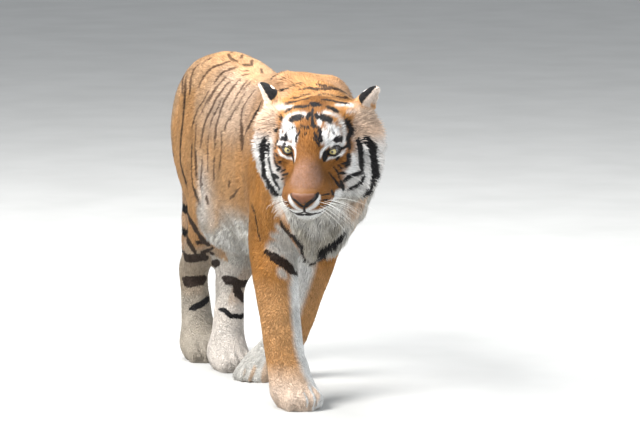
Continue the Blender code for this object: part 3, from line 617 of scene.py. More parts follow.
FACE_WHITES = {  # width, strength, then points
    "brow outer right": (15.1, 1.0, (-98, 20, 4), (-101, 58, 23), (-93, 62, 49), (-77, 54, 69)),
    "brow top right": (8.4, 1.0, (-81, 63, 72), (-54, 49, 86), (-26, 37, 93), (-12, 27, 91)),
    "brow inner right": (18.5, 1.0, (-77, 34, 51), (-54, 3, 56), (-43, -21, 43), (-47, -26, 25)),
    "lid right": (9.3, 1.0, (-81, -3, 12), (-62, -18, 19), (-42, -30, 20)),
    "brow mid right": (16.8, 1.0, (-89, 45, 38), (-78, -1, 25)),
    "brow outer left": (16.8, 1.0, (92, 17, 13), (93, 48, 30), (87, 55, 54), (76, 56, 72)),
    "brow top left": (8.4, 1.0, (73, 61, 79), (53, 54, 89), (28, 46, 96)),
    "brow mid left": (21.9, 1.0, (51, 15, 66), (70, 28, 56), (77, 25, 43)),
    "brow inner left": (18.5, 1.0, (40, -2, 62), (47, -20, 42), (63, -18, 23), (85, 2, 15)),
    "bridge side left": (8.4, 0.9, (34, -17, 52), (39, -29, 27)),
    "crown right": (12.6, 0.9, (-118, 101, 79), (-97, 103, 85), (-65, 89, 92)),
    "crown left": (11.8, 0.9, (57, 98, 97), (80, 120, 92), (107, 114, 92)),
    "crown side left": (9.3, 0.7, (89, 93, 82), (118, 99, 77)),
    "temple pale": (29.5, 0.5, (119, 91, 64), (124, 82, 31), (115, 64, 6)),
    "under right": (7.2, 1.0, (-95, -1, -9), (-85, -11, -18), (-69, -14, -27), (-53, -22, -26)),
    "under left": (9.3, 1.0, (49, -28, -22), (65, -15, -19), (86, -9, -12), (97, 6, -3)),
    "cheek white right": (19.4, 0.9, (-149, 81, -20), (-147, 69, -62), (-138, 58, -103), (-121, 52, -136),
        (-109, 66, -175)),
    "cheek inner right": (14.3, 0.8, (-126, 62, -16), (-126, 39, -48), (-114, 22, -87)),
    "cheek white left": (29.5, 0.95, (116, 32, -27), (119, 25, -65), (102, 11, -74)),
    "cheek loop left": (21.0, 0.9, (101, 24, -114), (122, 40, -111)),
    "ruff gap left": (18.5, 0.9, (141, 78, -13), (149, 72, -61), (150, 77, -109), (132, 74, -163)),
    "rim right": (18.5, 0.9, (-181, 122, -47), (-176, 113, -96)),
    "rim left": (16.8, 0.9, (178, 130, -28), (180, 123, -71)),
    "muzzle right": (14.3, 1.0, (-42, -147, -88), (-33, -155, -107), (-17, -151, -125), (-2, -146, -134)),
    "muzzle left": (14.3, 1.0, (45, -143, -86), (38, -152, -105), (18, -150, -123), (4, -146, -134)),
    "lip pale right": (10.9, 0.9, (-58, -120, -128), (-45, -123, -141), (-26, -131, -149), (-5, -141, -143)),
    "lip pale left": (10.9, 0.9, (10, -141, -140), (36, -122, -149), (48, -50, -165)),
    "brow fill two right": (16.8, 1.0, (-90, 56, 47), (-74, 17, 43)),
    "brow fill two left": (18.5, 1.0, (45, 19, 74), (76, 32, 49), (84, 10, 26)),
    "brow fill right": (23.6, 1.0, (-79, 44, 56), (-58, 10, 57), (-59, -17, 36)),
    "brow fill left": (23.6, 1.0, (53, 7, 59), (66, 24, 58), (64, -13, 39)),
    "brow join left": (12.6, 1.0, (17, 34, 93), (27, 5, 72)),
    "chin": (21.0, 0.9, (-7, -119, -173), (26, -93, -176)),
    "over eye right": (8.5, 1.0, (-103, 26, -1), (-88, 5, 10), (-66, -15, 21), (-53, -23, 17), (-42, -33, 7),
        (-40, -43, -7), (-41, -50, -19)),
    "over eye left": (10.2, 1.0, (94, 18, 9), (81, -3, 18), (68, -15, 23), (55, -21, 21), (45, -29, 13),
        (37, -39, 5), (36, -49, -5)),
    "over eye fill left": (11.3, 1.0, (45, -24, 36), (50, -24, 21)),
    "over eye fill right": (8.5, 1.0, (-104, 34, 2), (-85, 5, 16)),
}
print("lines on the face:", len(FACE_LINES), "white patches:", len(FACE_WHITES))

# %% [markdown]
# On the trunk the stripes run down the flanks from the spine, about 55 mm apart, and near the spine they sweep
# forwards. The right side, the neck and the legs have lines of their own. On the left side a function draws each from
# its station along the body, so a row of numbers makes the whole side, and the two sides differ, as they do on a real
# animal. Bands on the rest of the legs come from another table, and the tail carries rings.

# %% Stripes of the body
FLANK = (  # on the left side: station from the shoulder, width, lowest and highest point; metres
    (0.085, 14, 0.66, 0.86), (0.150, 10, 0.58, 0.91), (0.205, 8, 0.62, 0.88), (0.262, 12, 0.54, 0.92),
    (0.318, 9, 0.62, 0.925), (0.366, 8, 0.55, 0.88), (0.420, 12, 0.53, 0.93), (0.476, 9, 0.62, 0.93),
    (0.520, 8, 0.58, 0.89), (0.572, 12, 0.54, 0.94), (0.622, 9, 0.64, 0.95), (0.668, 10, 0.60, 0.95),
    (0.715, 11, 0.62, 0.955),
)
BODY_LINES = {  # width, then points in millimetres in the body's frame
    "rump a": (14.9, (-45, 532, 947), (-65, 567, 935), (-78, 601, 923), (-93, 615, 904), (-107, 620, 879),
        (-117, 619, 858)),
    "rump b": (13.1, (-71, 730, 924), (-83, 750, 907), (-102, 726, 885), (-116, 697, 863), (-128, 673, 835)),
    "rump c": (14.4, (-51, 463, 935), (-68, 486, 925), (-82, 510, 913), (-94, 512, 898), (-106, 515, 880)),
    "rump d": (10.3, (-116, 523, 861), (-129, 541, 829), (-137, 564, 803), (-145, 580, 771), (-152, 588, 734)),
    "rump e": (8.5, (-81, 704, 917), (-63, 699, 936), (-51, 677, 946)),
    "flank a": (15.8, (-82, 414, 900), (-95, 430, 887), (-110, 434, 866), (-122, 445, 844), (-132, 452, 820),
        (-141, 464, 794), (-149, 477, 763), (-155, 480, 732), (-159, 486, 689)),
    "flank b": (14.0, (-161, 462, 664), (-162, 469, 624), (-162, 480, 589), (-155, 507, 564)),
    "flank c": (15.8, (-69, 379, 906), (-90, 381, 886), (-108, 378, 862), (-120, 379, 841), (-130, 378, 821),
        (-138, 373, 800), (-147, 375, 773), (-154, 366, 744), (-160, 359, 702)),
    "flank d": (13.1, (-162, 353, 679), (-163, 360, 642), (-161, 366, 604)),
    "flank e": (14.0, (-138, 287, 802), (-144, 295, 784), (-150, 296, 763)),
    "flank f": (10.3, (-61, 338, 907), (-91, 317, 879), (-111, 307, 854), (-124, 308, 833)),
    "flank g": (15.8, (-80, 209, 895), (-97, 205, 878), (-113, 206, 857), (-125, 208, 837), (-138, 182, 816),
        (-150, 149, 783), (-154, 139, 749), (-155, 135, 725)),
    "flank h": (16.7, (-131, 29, 875), (-138, 36, 854), (-144, 53, 832), (-150, 64, 813), (-154, 78, 794),
        (-148, 121, 768), (-152, 128, 744), (-155, 135, 719)),
    "flank i": (9.9, (-107, 486, 876), (-120, 494, 852), (-133, 513, 820), (-143, 531, 785)),
    "flank j": (9.4, (-93, 270, 878), (-111, 263, 855), (-128, 253, 826)),
    "flank k": (9.9, (-118, 403, 848), (-132, 408, 818), (-143, 422, 786), (-151, 427, 756)),
    "thigh long": (15.8, (-99, 779, 880), (-125, 717, 843), (-138, 689, 800), (-144, 681, 770), (-149, 679, 743),
        (-152, 679, 709), (-155, 679, 663), (-155, 680, 623), (-156, 649, 592), (-157, 621, 564), (-155, 609, 531)),
    "thigh thin": (12.1, (-86, 840, 876), (-115, 774, 856), (-130, 732, 830)),
    "thigh pale line": (11.2, (-156, 567, 705), (-159, 568, 675), (-161, 563, 644), (-162, 561, 608),
        (-162, 552, 572), (-162, 534, 549), (-160, 513, 527)),
    "flank foot b": (11.2, (-156, 246, 596), (-159, 230, 616)),
    "flank l": (10.3, (-82, 465, 908), (-102, 473, 884), (-118, 482, 856), (-132, 497, 821)),
    "flank m": (11.2, (-122, 268, 837), (-134, 272, 813), (-142, 276, 792)),
    "flank n": (10.3, (-155, 427, 738), (-159, 422, 702), (-162, 415, 666), (-162, 415, 624)),
    "flank o": (10.3, (-152, 318, 755), (-159, 300, 717), (-162, 300, 678), (-162, 309, 635)),
    "flank p": (9.4, (-146, 559, 767), (-154, 546, 726), (-158, 536, 684), (-157, 537, 635), (-159, 524, 587)),
    "flank q": (9.4, (-55, 313, 909), (-77, 303, 892), (-97, 293, 873)),
    "rump patch": (18.5, (-30, 458, 943), (-17, 431, 941)),
    "rump line a": (9.9, (-20, 619, 963), (-34, 554, 953), (-32, 497, 949)),
    "rump line b": (9.9, (-45, 416, 928), (-32, 400, 930)),
    "rump line c": (9.4, (-56, 396, 918), (-39, 372, 923)),
    "hump edge": (11.2, (-58, 5, 963), (-87, -5, 960), (-107, 18, 937)),
    "nape band": (18.5, (-70, -126, 921), (-48, -142, 925), (-31, -156, 924), (-9, -155, 925), (22, -142, 924),
        (52, -127, 916), (82, -99, 905), (112, -73, 888)),
    "nape blur": (16.7, (-12, -123, 935), (9, -135, 930), (26, -139, 924)),
    "nape a": (9.9, (-105, -145, 898), (-92, -177, 903), (-73, -183, 911), (-54, -191, 914)),
    "nape b": (11.7, (-234, -446, 917), (-212, -453, 921), (-194, -462, 927), (-179, -480, 931), (-171, -489, 931)),
    "nape c": (10.8, (-56, -205, 911), (-42, -210, 910), (-25, -197, 913), (-5, -195, 911), (17, -194, 904),
        (45, -180, 896), (84, -135, 886)),
    "nape d": (11.7, (-147, -507, 931), (-127, -511, 929), (-107, -516, 924), (-86, -517, 921), (-71, -533, 919)),
    "nape e": (8.5, (-81, -89, 929), (-64, -94, 934), (-45, -95, 940)),
    "nape f": (8.5, (-110, -67, 913), (-93, -87, 921)),
    "breast middle": (27.8, (-153, -197, 542), (-142, -194, 520), (-132, -207, 507), (-123, -225, 497),
        (-112, -227, 482), (-97, -223, 463)),
    "breast middle end": (17.6, (-99, -227, 466), (-78, -188, 440), (25, 83, 381)),
    "breast right": (28.0, (-157, -114, 438), (-139, -126, 423), (-119, -132, 411), (-101, -134, 396),
        (-84, -129, 380)),
    "breast right end": (15.6, (-170, -100, 445), (-154, -116, 435)),
    "breast right low": (12.0, (-88, -131, 383), (-67, -111, 371)),
    "breast left": (20.6, (8, -290, 513), (-7, -290, 496), (-20, -281, 481), (-36, -266, 465), (-49, -251, 452),
        (55, 51, 396)),
    "breast left end": (18.6, (-47, -214, 436), (51, 66, 379), (41, 76, 372)),
    "arm line": (8.2, (-189, -42, 579), (-193, -76, 559), (-190, -87, 531), (-186, -84, 501), (-179, -90, 477)),
    "arm line low": (7.9, (-132, 148, 531), (-190, -36, 528)),
    "thigh inner top": (27.8, (-131, 682, 484), (-130, 679, 461), (-141, 620, 446), (-140, 606, 435)),
    "thigh inner": (48.2, (-140, 623, 443), (-136, 588, 425), (-123, 580, 404), (-100, 591, 377)),
    "thigh outer": (33.6, (-126, 695, 429), (-122, 711, 402), (-124, 705, 383), (-122, 674, 365), (-110, 673, 339)),
    "thigh low": (31.1, (-107, 782, 335), (-113, 764, 322), (-111, 716, 319), (-99, 674, 326), (-89, 649, 332),
        (-25, 781, 325)),
    "hock right": (37.4, (-106, 795, 243), (-96, 777, 238), (-80, 765, 242), (-62, 762, 245), (-39, 771, 246)),
    "hock right low": (19.7, (-97, 755, 157), (-83, 749, 163), (-67, 748, 169), (-49, 752, 177), (-30, 768, 189)),
    "thigh edge": (15.5, (-131, 696, 511), (-131, 683, 490)),
    "hock left": (30.2, (-51, 583, 273), (-42, 570, 268), (-27, 559, 266), (-11, 558, 256), (7, 561, 255),
        (29, 582, 256)),
    "hock left low": (30.2, (-16, 561, 246), (-6, 562, 227), (10, 570, 210), (16, 579, 202)),
    "foot left": (15.1, (-72, 562, 181), (-60, 548, 179), (-51, 539, 170), (-43, 534, 161), (-26, 534, 161),
        (-8, 540, 156), (10, 561, 161)),
    # the next three are painted shade between the hind legs, drawn as dark lines
    "shade between the hind legs, top": (33.2, (-7, 681, 382), (-77, 612, 347)),
    "shade between the hind legs, low": (25.2, (-59, 652, 303), (-60, 639, 310), (-56, 605, 320)),
    "shade between the thighs": (35.2, (-7, 667, 365), (2, 655, 370)),
    "belly a": (18.3, (-159, 443, 547), (-155, 427, 524)),
    "belly b": (8.9, (-162, 552, 569), (-162, 525, 550), (-160, 513, 530), (-157, 503, 510)),
    "flank foot a": (9.3, (-149, 259, 558), (-151, 208, 576), (-154, 165, 599)),
    "flank foot c": (8.6, (-154, 502, 562), (-162, 461, 585)),
}
BREAST_WHITES = {  # width, strength, then points
    "breast pale a": (43.3, 0.95, (-152, -119, 465), (-132, -132, 462), (-103, -131, 440), (-76, -116, 410),
        (-62, -99, 378)),
    "breast pale b": (37.5, 1.0, (-152, -170, 521), (-130, -178, 494), (-106, -180, 464), (-65, -112, 427)),
    "breast pale c": (26.0, 0.85, (-161, -109, 458), (-141, -122, 447), (-118, -129, 435)),
    "breast pale d": (46.2, 1.0, (-117, -258, 518), (-96, -244, 477), (35, 74, 382)),
    "breast pale e": (34.7, 1.0, (-25, -311, 532), (-40, -286, 494), (-56, -253, 456), (49, 70, 375)),
    "arm inside top": (23.1, 0.9, (-134, -138, 392), (-120, -146, 372)),
    "breast pale f": (43.3, 0.95, (-153, -138, 491), (-131, -156, 483), (-98, -143, 450)),
}
print("lines on the body:", len(BODY_LINES) + len(FLANK), "pale patches on the breast:", len(BREAST_WHITES))

# %% Place the lines
LEG_BANDS = (  # across, side, first and last degree, tilt in metres, then place along the body, height, width; mm
    (0.05, 1, -70, 80, 0.03, ((720, 700, 13), (700, 640, 12), (670, 580, 13), (640, 520, 14), (620, 460, 16),
                              (630, 400, 17))),
    (-0.06, -1, 25, 100, 0.03, ((740, 620, 9), (725, 560, 8), (715, 500, 8))),
    (-0.02, 1, -60, 200, 0.01, ((600, 335, 15), (600, 385, 15))),
    (0.0, 1, -20, 120, 0.0, ((600, 262, 14),)),
    (-0.122, -1, 110, 200, 0.01, ((-50, 400, 13), (-50, 460, 11), (-50, 520, 9))),
    (0.088, 1, 110, 200, 0.01, ((60, 400, 13), (60, 460, 11), (60, 520, 9))),
    (0.06, 1, -40, 40, 0.03, ((-50, 720, 6), (-50, 640, 7), (-50, 570, 5))),
)
NECK_LINES = ((-0.13, 0.86), (-0.19, 0.84), (-0.25, 0.82))  # place along the body and height
SPINE_LINES = (0.37, 0.46, 0.55, 0.64, 0.73)
TWIN_CHANCE, TWIN_GAP = 0.30, 0.017  # some stripes have a thin twin that closes on them
BAND_REACH = 0.09  # a band starts this far from a leg's middle, and is then laid on the skin


def flank_line(station, width, low, high, wobble):
    """A stripe down the flank: upright below, swept forwards where it nears the spine."""
    points = []
    for z in np.linspace(low, high, 9):
        sweep = -0.095 * step(0.855, 0.955, z) + 0.012 * step(0.80, 0.60, z)
        y = station + sweep + wobble[0] * math.sin(z * 24 + wobble[1])
        points.append((0.16 * (1 - 0.8 * step(0.80, 0.97, z)), y, z))
    return width, points


def leg_band(centre, side, z, start, end, width, tilt):
    """A band round a leg: degrees run from 0 outside to 90 behind, and 180 on the inside."""
    points = []
    for angle in np.radians(np.linspace(start, end, 7)):
        spot = (centre[0] + side * BAND_REACH * math.cos(angle), centre[1] + BAND_REACH * math.sin(angle))
        points.append((*spot, z + tilt * math.sin(angle) + RANDOM.normal(0, 0.003)))
    return width, points


RANDOM = np.random.default_rng(7)
lines = []
for station, width, low, high in FLANK:
    wobble = (RANDOM.uniform(0.003, 0.009), RANDOM.uniform(0, 6))
    lines.append(flank_line(station, width, low, high, wobble))
    if RANDOM.random() < TWIN_CHANCE:
        lines.append(flank_line(station + TWIN_GAP, width * 0.5, low + 0.05, high - 0.08, wobble))
for across, side, start, end, tilt, bands in LEG_BANDS:
    for y, z, width in bands:
        lines.append(leg_band((across, y / 1000), side, z / 1000, start, end, width, tilt))
for y, z in NECK_LINES:
    for side in (-1, 1):
        lines.append((8, [(side * 0.11, y - 0.02, z - 0.03), (side * 0.14, y, z - 0.10),
                          (side * 0.13, y + 0.02, z - 0.17)]))
for y in SPINE_LINES:
    lines.append((9, [(0.012, y + 0.03, 0.95), (0.0, y, 0.96), (-0.012, y - 0.03, 0.95)]))
lines = [(width, [Vector(p) + SHIFT for p in points]) for width, points in lines]
lines += [(width, [body_spot(p) for p in points]) for width, *points in BODY_LINES.values()]
lines += [(width, [head_spot(p) for p in points]) for width, *points in FACE_LINES.values()]
print("lines in all:", len(lines))

# %% [markdown]
# Each line is laid on the skin before it is used, so that it follows the form under it.

# %% Lay them on the skin
def laid_patches(table, placed):
    return [(width / 1000, share, laid([placed(p) for p in points])) for width, share, *points in table.values()]


LINES = [(width / 1000, laid(points)) for width, points in lines]
WHITES, PALE = laid_patches(FACE_WHITES, head_spot), laid_patches(BREAST_WHITES, body_spot)
STRIPE_REACH = 0.007  # metres past the edge of a stripe at which it is forgotten


def near_line(spots, width, points, blunt, margin):
    """The spots near a line, how far off they lie, and half the line's width there, which runs out at both ends."""
    reach = width / 2 + margin
    close = (spots > points.min(axis=0) - reach) & (spots < points.max(axis=0) + reach)
    near = np.flatnonzero(close.all(axis=1))
    away, where = along_chain(spots[near], points)
    return near, away, width / 2 * np.minimum(1, blunt + 4.0 * np.minimum(where, 1 - where))


def whiteness(spots, patches, soft=0.004):
    """How far each spot lies in the nearest of the white patches, from 0 to 1."""
    found = np.zeros(len(spots))
    for width, share, points in patches:
        near, away, half = near_line(spots, width, points, 0.55, 2 * soft)
        found[near] = np.maximum(found[near], share * (1 - step(half - soft, half + soft, away)))
    return found


def stripe_depth(spots):
    """How far each spot lies inside the edge of the nearest stripe, in millimetres, and below zero outside it."""
    found = np.full(len(spots), -STRIPE_REACH * 1000)
    for width, points in LINES:
        near, away, half = near_line(spots, width, points, 0.50, STRIPE_REACH)
        found[near] = np.maximum(found[near], (half - away) * 1000)
    return np.clip(found, -STRIPE_REACH * 1000, STRIPE_REACH * 1000)


print("laid:", len(LINES), "lines and", len(WHITES) + len(PALE), "white patches")

# %% [markdown]
# The dark ring of the eye, the black of the ear and the rings of the tail are simple shapes, so they come from the
# eye's, the ear's and the tail's own measures and need no lines.

# %% Frames of the eyes, the ears and the tail
BALL = 0.0185  # the eyeball's radius
ALMOND = (0.0185, 0.0102)  # half width and half height of the opening
EYE_OUT, EYE_SLANT = 20, -12  # degrees
EAR_PLACE, EAR_LEAN, EAR_OUT = (0.135, 0.146, 0.082), 33, 74  # metres in the head's frame, then degrees
EYE_FRAME, EAR_FRAME = {}, {}
for side, name in ((-1, "right"), (1, "left")):
    tilt = Matrix.Rotation(math.radians(side * EYE_OUT), 4, "Z")
    tilt = tilt @ Matrix.Rotation(math.radians(side * EYE_SLANT), 4, "Y")
    EYE_FRAME[name] = Matrix.Translation(EYE_MIDDLE[name]) @ HEAD.to_3x3().to_4x4() @ tilt
    turn = Matrix.Rotation(side * math.radians(EAR_LEAN), 4, "Y")
    turn = turn @ Matrix.Rotation(side * math.radians(EAR_OUT), 4, "Z")
    EAR_FRAME[side] = HEAD @ Matrix.Translation((side * EAR_PLACE[0], *EAR_PLACE[1:])) @ turn
TAIL_ENDS = np.concatenate([[0], np.cumsum(np.linalg.norm(np.diff(TAIL, axis=0), axis=1))])
TAIL_RING = 0.082  # metres from one ring of the tail to the next
EYE_RING = (0.0222, 0.0002, 0.0150)  # half width, height of the middle, half height


def along_tail(spots):
    nearest = tail_span(spots)
    return TAIL_ENDS[nearest] + np.sum((spots - TAIL[nearest]) * TAIL_WAYS[nearest], axis=1)


def ear_ground(spots, normals, sides):
    """How black and how pale an ear is at each spot: black behind with a pale spot, and pale before."""
    place, facing = np.zeros_like(spots), np.zeros_like(spots)
    for side, matrix in EAR_FRAME.items():  # its tip up, its opening towards -Y
        here = sides == side
        place[here] = in_frame(spots[here], matrix)
        facing[here] = normals[here] @ np.array(matrix.inverted())[:3, :3].T
    back = step(-0.10, 0.15, facing[:, 1])
    before = (1 - back) * step(0.004, 0.014, place[:, 2])
    spot = 1 - step(0.8, 1.2, np.hypot(place[:, 0] / 0.012, (place[:, 2] - 0.034) / 0.008))
    black = back * step(0.012, 0.020, place[:, 2] + 0.15 * np.abs(place[:, 0])) * (1 - spot)
    return black, np.maximum(0.58 * before, 0.9 * spot * back)


def dark_depth(spots, body, part, ear_black):
    """Depth inside the edge of the nearest dark marking: a line, the ring of an eye, the tail's rings or the ears."""
    found = stripe_depth(spots)
    for matrix in EYE_FRAME.values():
        eye = in_frame(spots, matrix)
        ring = 1 - np.hypot(eye[:, 0] / EYE_RING[0], (eye[:, 2] - EYE_RING[1]) / EYE_RING[2])
        found = np.where(np.linalg.norm(eye, axis=1) < 0.035, np.maximum(found, ring * 12), found)
    run = along_tail(body)
    rings = step(0.15, 0.45, np.sin(run * 2 * math.pi / TAIL_RING) - 0.1) * step(0.05, 0.12, run)
    whole = np.maximum(part["tail"] * np.maximum(rings, step(0.83, 0.87, run)), part["ear"] * ear_black)
    return np.maximum(found, 5 * whole - 2.5)  # half of the whole is the edge


print("eyes' and ears' frames:", len(EYE_FRAME) + len(EAR_FRAME), "tail:", round(TAIL_ENDS[-1], 2), "m")

# %% [markdown]
# Where the lines leave the ground colour alone, soft rules give it: warm on the shoulders and face and paler on the
# flanks, white below and on the insides of the legs, and rose on the bridge of the nose, where the hair is shortest.
# On the body the dark is browner than on the face, and the white is greyer and darkened by painted shade, most of all
# on the belly and the hind legs, and under the chin. On the face the warm colour is darkened by painted shade as
# well.

# %% Colour rules
KINDS = ("head", "ear", "neck", "trunk", "foreleg_upper", "foreleg_lower", "forepaw", "hindleg_upper",
         "hindleg_lower", "hindpaw", "tail")
AS_TRUNK = np.where(np.isin(KIND, TRUNK), "trunk", KIND)
PARTS = softened(np.stack([(AS_TRUNK == kind).astype(float) for kind in KINDS], axis=1), 5)
SIDES = np.array([name.endswith("_left") - name.endswith("_right") for name in OWNER], float)


def trunk_ground(body, normals):
    """White and warm on the trunk."""
    front, under = -normals[:, 1], -normals[:, 2]
    y, z = body[:, 1], body[:, 2]
    wave = 0.5 + 0.5 * np.sin(y * 31 + z * 17) * np.sin(z * 23 - y * 9)
    belly = step(0.10, 0.62, under) * step(0.570, 0.475, z - 0.16 * np.clip(y - 0.2, 0, 1))
    breast = step(0.15, 0.6, front) * step(0.04, -0.12, y) * step(0.80, 0.62, z)
    groin = step(0.30, 0.50, y) * step(0.72 + 0.10 * (y - 0.5), 0.54, z)
    high = (0.16 + 0.14 * step(0.02, 0.25, y) * step(0.62, 0.40, y)) * step(0.68, 0.80, z)
    high = high * (1 - 0.7 * step(0.70, 0.95, normals[:, 2]))
    warm = 0.06 + 0.06 * step(0.80, 0.93, z) + 0.36 * step(0.30, 0.04, y) + 0.08 * wave
    return np.max([belly, breast, 0.8 * groin, high], axis=0), warm


def head_ground(spots, face):
    """White and warm on the head."""
    x, y, z = np.abs(face[:, 0]), face[:, 1], face[:, 2]
    ruff = step(0.100, 0.128, x) * step(0.055, -0.015, z)
    chin = step(-0.122, -0.136, z) * step(0.10, 0.02, y)
    throat = step(-0.125, -0.155, z)
    cheek = step(0.078, 0.098, x) * step(-0.045, -0.075, z) * step(-0.02, 0.03, y)
    nape = step(0.10, 0.17, y) * step(0.06, 0.0, z) * step(0.10, 0.15, x)
    upper_ruff = step(0.095, 0.125, x) * step(-0.04, 0.01, z) * step(0.120, 0.075, z)
    white = np.max([0.9 * ruff, chin, throat, 0.85 * cheek, whiteness(spots, WHITES)], axis=0)
    white = white * (1 - nape * 0.4) * (1 - 0.40 * upper_ruff)
    warm = 0.95 - 0.55 * upper_ruff - 0.35 * step(0.03, 0.09, z) * step(0.02, 0.06, x)
    return np.maximum(white, 0.36 * upper_ruff), warm


def blended(part, values, start=0):
    """A value for each kind of coat, mixed as the kinds are mixed at each spot."""
    return sum((part[kind] * value for kind, value in values.items()), start)


def shade_of(body, normals):
    """How far the white of the trunk is greyed and darkened as painted shade: in patches under the belly, and evenly
    on the breast and the rump.
    """
    x, y, z = body.T
    mottle = np.sin(y * 58 + 3.0 * np.sin(z * 37 + x * 23)) * np.sin(z * 76 + 2.6 * np.sin(y * 31 - x * 41))
    mottle = 0.5 + 0.5 * mottle
    even = np.maximum(0.55 * step(0.15, 0.6, -normals[:, 1]) * step(0.04, -0.12, y), step(0.40, 0.62, y) * 0.7)
    return even, step(-0.1, 0.35, -normals[:, 2]), 0.30 + 0.55 * mottle


def markings(spots, normals, parts, sides):
    """Stripe in millimetres inside its edge, then white, warm, rose, brown, and grey with painted shade, from 0 to 1,
    near the skin.
    """
    body, face = in_body(spots), in_head(spots)
    x, y, z = face.T
    up = body[:, 2]
    part = dict(zip(KINDS, parts.T))
    inner, front, under = -sides * normals[:, 0], -normals[:, 1], -normals[:, 2]
    right = (sides < 0).astype(float)
    trunk_white, trunk_warm = trunk_ground(body, normals)
    head_white, head_warm = head_ground(spots, face)
    ear_black, ear_white = ear_ground(spots, normals, np.sign(x))
    white = blended(part, {
        "trunk": trunk_white,
        "head": head_white,
        "neck": step(-0.05, 0.5, under),
        "ear": ear_white,
        "foreleg_upper": step(0.10, 0.55, inner),
        "foreleg_lower": step(0.05, 0.42, inner),
        "forepaw": np.maximum(0.45 * step(0.15, 0.04, up), step(0.0, 0.5, inner)),
        "hindleg_upper": np.maximum(step(0.0, 0.5, inner), 0.9 * step(0.2, 0.6, front) * step(0.62, 0.54, up)),
        "hindleg_lower": np.maximum(0.62 + 0.16 * right - 0.3 * step(0.30, 0.42, up), 0.85 * step(0.0, 0.4, inner)),
        "hindpaw": 0.80 + 0.10 * right,
        "tail": 0.15 + 0.6 * step(0.2, 0.8, under),
    })
    breast = whiteness(spots, PALE, 0.011)
    white = np.maximum(white, breast * (1 - part["head"]))
    warm = blended(part, {
        "trunk": trunk_warm, "head": head_warm, "neck": 0.42, "ear": 0.22, "foreleg_upper": 0.64,
        "foreleg_lower": 0.26 + 0.34 * step(0.28, 0.42, up), "forepaw": 0.14, "hindleg_upper": 0.22,
        "hindleg_lower": 0.12, "hindpaw": 0.08, "tail": 0.3,
    })
    rose = part["head"] * step(-0.052, -0.100, y) * step(0.056, 0.036, np.abs(x)) * step(-0.078, -0.05, z)
    brown = part["trunk"] * step(0.02, 0.10, body[:, 1]) + part["neck"] * 0.5
    brown = brown + 0.30 * (part["hindleg_upper"] + part["hindleg_lower"]) + 0.2 * part["foreleg_upper"]
    even, below, mottled = shade_of(body, normals)
    # painted shade on the white: under the chin, and on the breast, the rump and under the belly of the trunk, in
    # patches there
    shaded = np.maximum(step(-0.150, -0.185, z) * part["head"], part["trunk"] * even)
    shaded = np.maximum(shaded, part["trunk"] * below * mottled)
    # white greyed and darkened as painted shade: on the neck's underside and the hind legs, most on the right hind
    # leg, on the left forepaw behind the right foreleg, and on the pale breast
    grey_and_shade = blended(part, {
        "neck": 0.6, "hindleg_upper": 0.7 + 0.2 * right, "hindleg_lower": 0.45 + 0.55 * right,
        "hindpaw": 0.25 + 0.70 * right, "forepaw": 0.55 * (sides > 0),
    }, shaded) + breast * 0.5
    stripe = dark_depth(spots, body, part, ear_black)
    return np.stack([stripe, *np.clip([white, warm, rose, brown, grey_and_shade], 0, 1)], axis=1)


skin_marks = markings(POINTS, NORMALS, PARTS, SIDES)
dark, white = float((skin_marks[:, 0] > 0).mean()), float(skin_marks[:, 1].mean())
print("share of dark skin:", round(dark, 3), "white:", round(white, 3))

# %% [markdown]
# ## Sockets for the eyes
# The remesh has melted the eyeballs into the skin. Round each eye, the skin has to stand just outside the ball, as a
# lid does, and inside the almond of the opening it has to lie hidden behind the ball. Cutting a hole would leave a
# ragged edge, so the points are only moved, straight towards the ball's middle or away from it.

# %% Eye sockets
HIDDEN, LID = 0.0035, 0.0020  # how far the skin lies inside the ball in the opening, and outside it at the lid


def almond(x, z):
    """Below 1 inside the opening: round in the middle and drawn out to a point at both corners."""
    across = np.clip(np.abs(x) / ALMOND[0], 0, 1.5)
    return np.abs(z) / (ALMOND[1] * np.maximum(1 - across ** 2.2, 1e-3))


moved = 0
for matrix in EYE_FRAME.values():
    spots = in_frame(POINTS, matrix)
    out = np.linalg.norm(spots, axis=1)
    ahead = (spots[:, 1] < 0.004) & (out < 0.045)
    inside = ahead & (almond(spots[:, 0], spots[:, 2]) < 1.0) & (np.abs(spots[:, 0]) < ALMOND[0])
    lid = ahead & ~inside
    grown = out.copy()
    grown[inside] = BALL - HIDDEN
    near = 1 - step(0.018, 0.034, np.hypot(spots[:, 0], spots[:, 2] * 1.3))
    grown[lid] = np.maximum(out[lid], BALL + LID * near[lid] + 0.0002)
    spots *= (grown / np.maximum(out, 1e-9))[:, None]
    back = np.array(matrix)
    POINTS[ahead] = (spots @ back[:3, :3].T + back[:3, 3])[ahead]
    moved += int(inside.sum())
put_points(skin_mesh, POINTS)
NORMALS = normals_of(skin_mesh)
print("points moved behind the eyes:", moved)

# %% [markdown]
# ## The coat
# Hair curves would be Blender's own way, but few other programs can read them, so the coat is solid mesh. Hair on an
# animal this size reads as tufts, and each tuft is one small closed spike with three base points in the skin and one
# tip. It lies along the coat's direction there and lifts by a few degrees. The long hair of the ruff, the breast and
# the belly is made of bent tufts with one more ring. All are computed as rows of numbers and joined, which keeps
# hundreds of thousands of tufts quick to make. Each triangle of the skin gets tufts by its area.

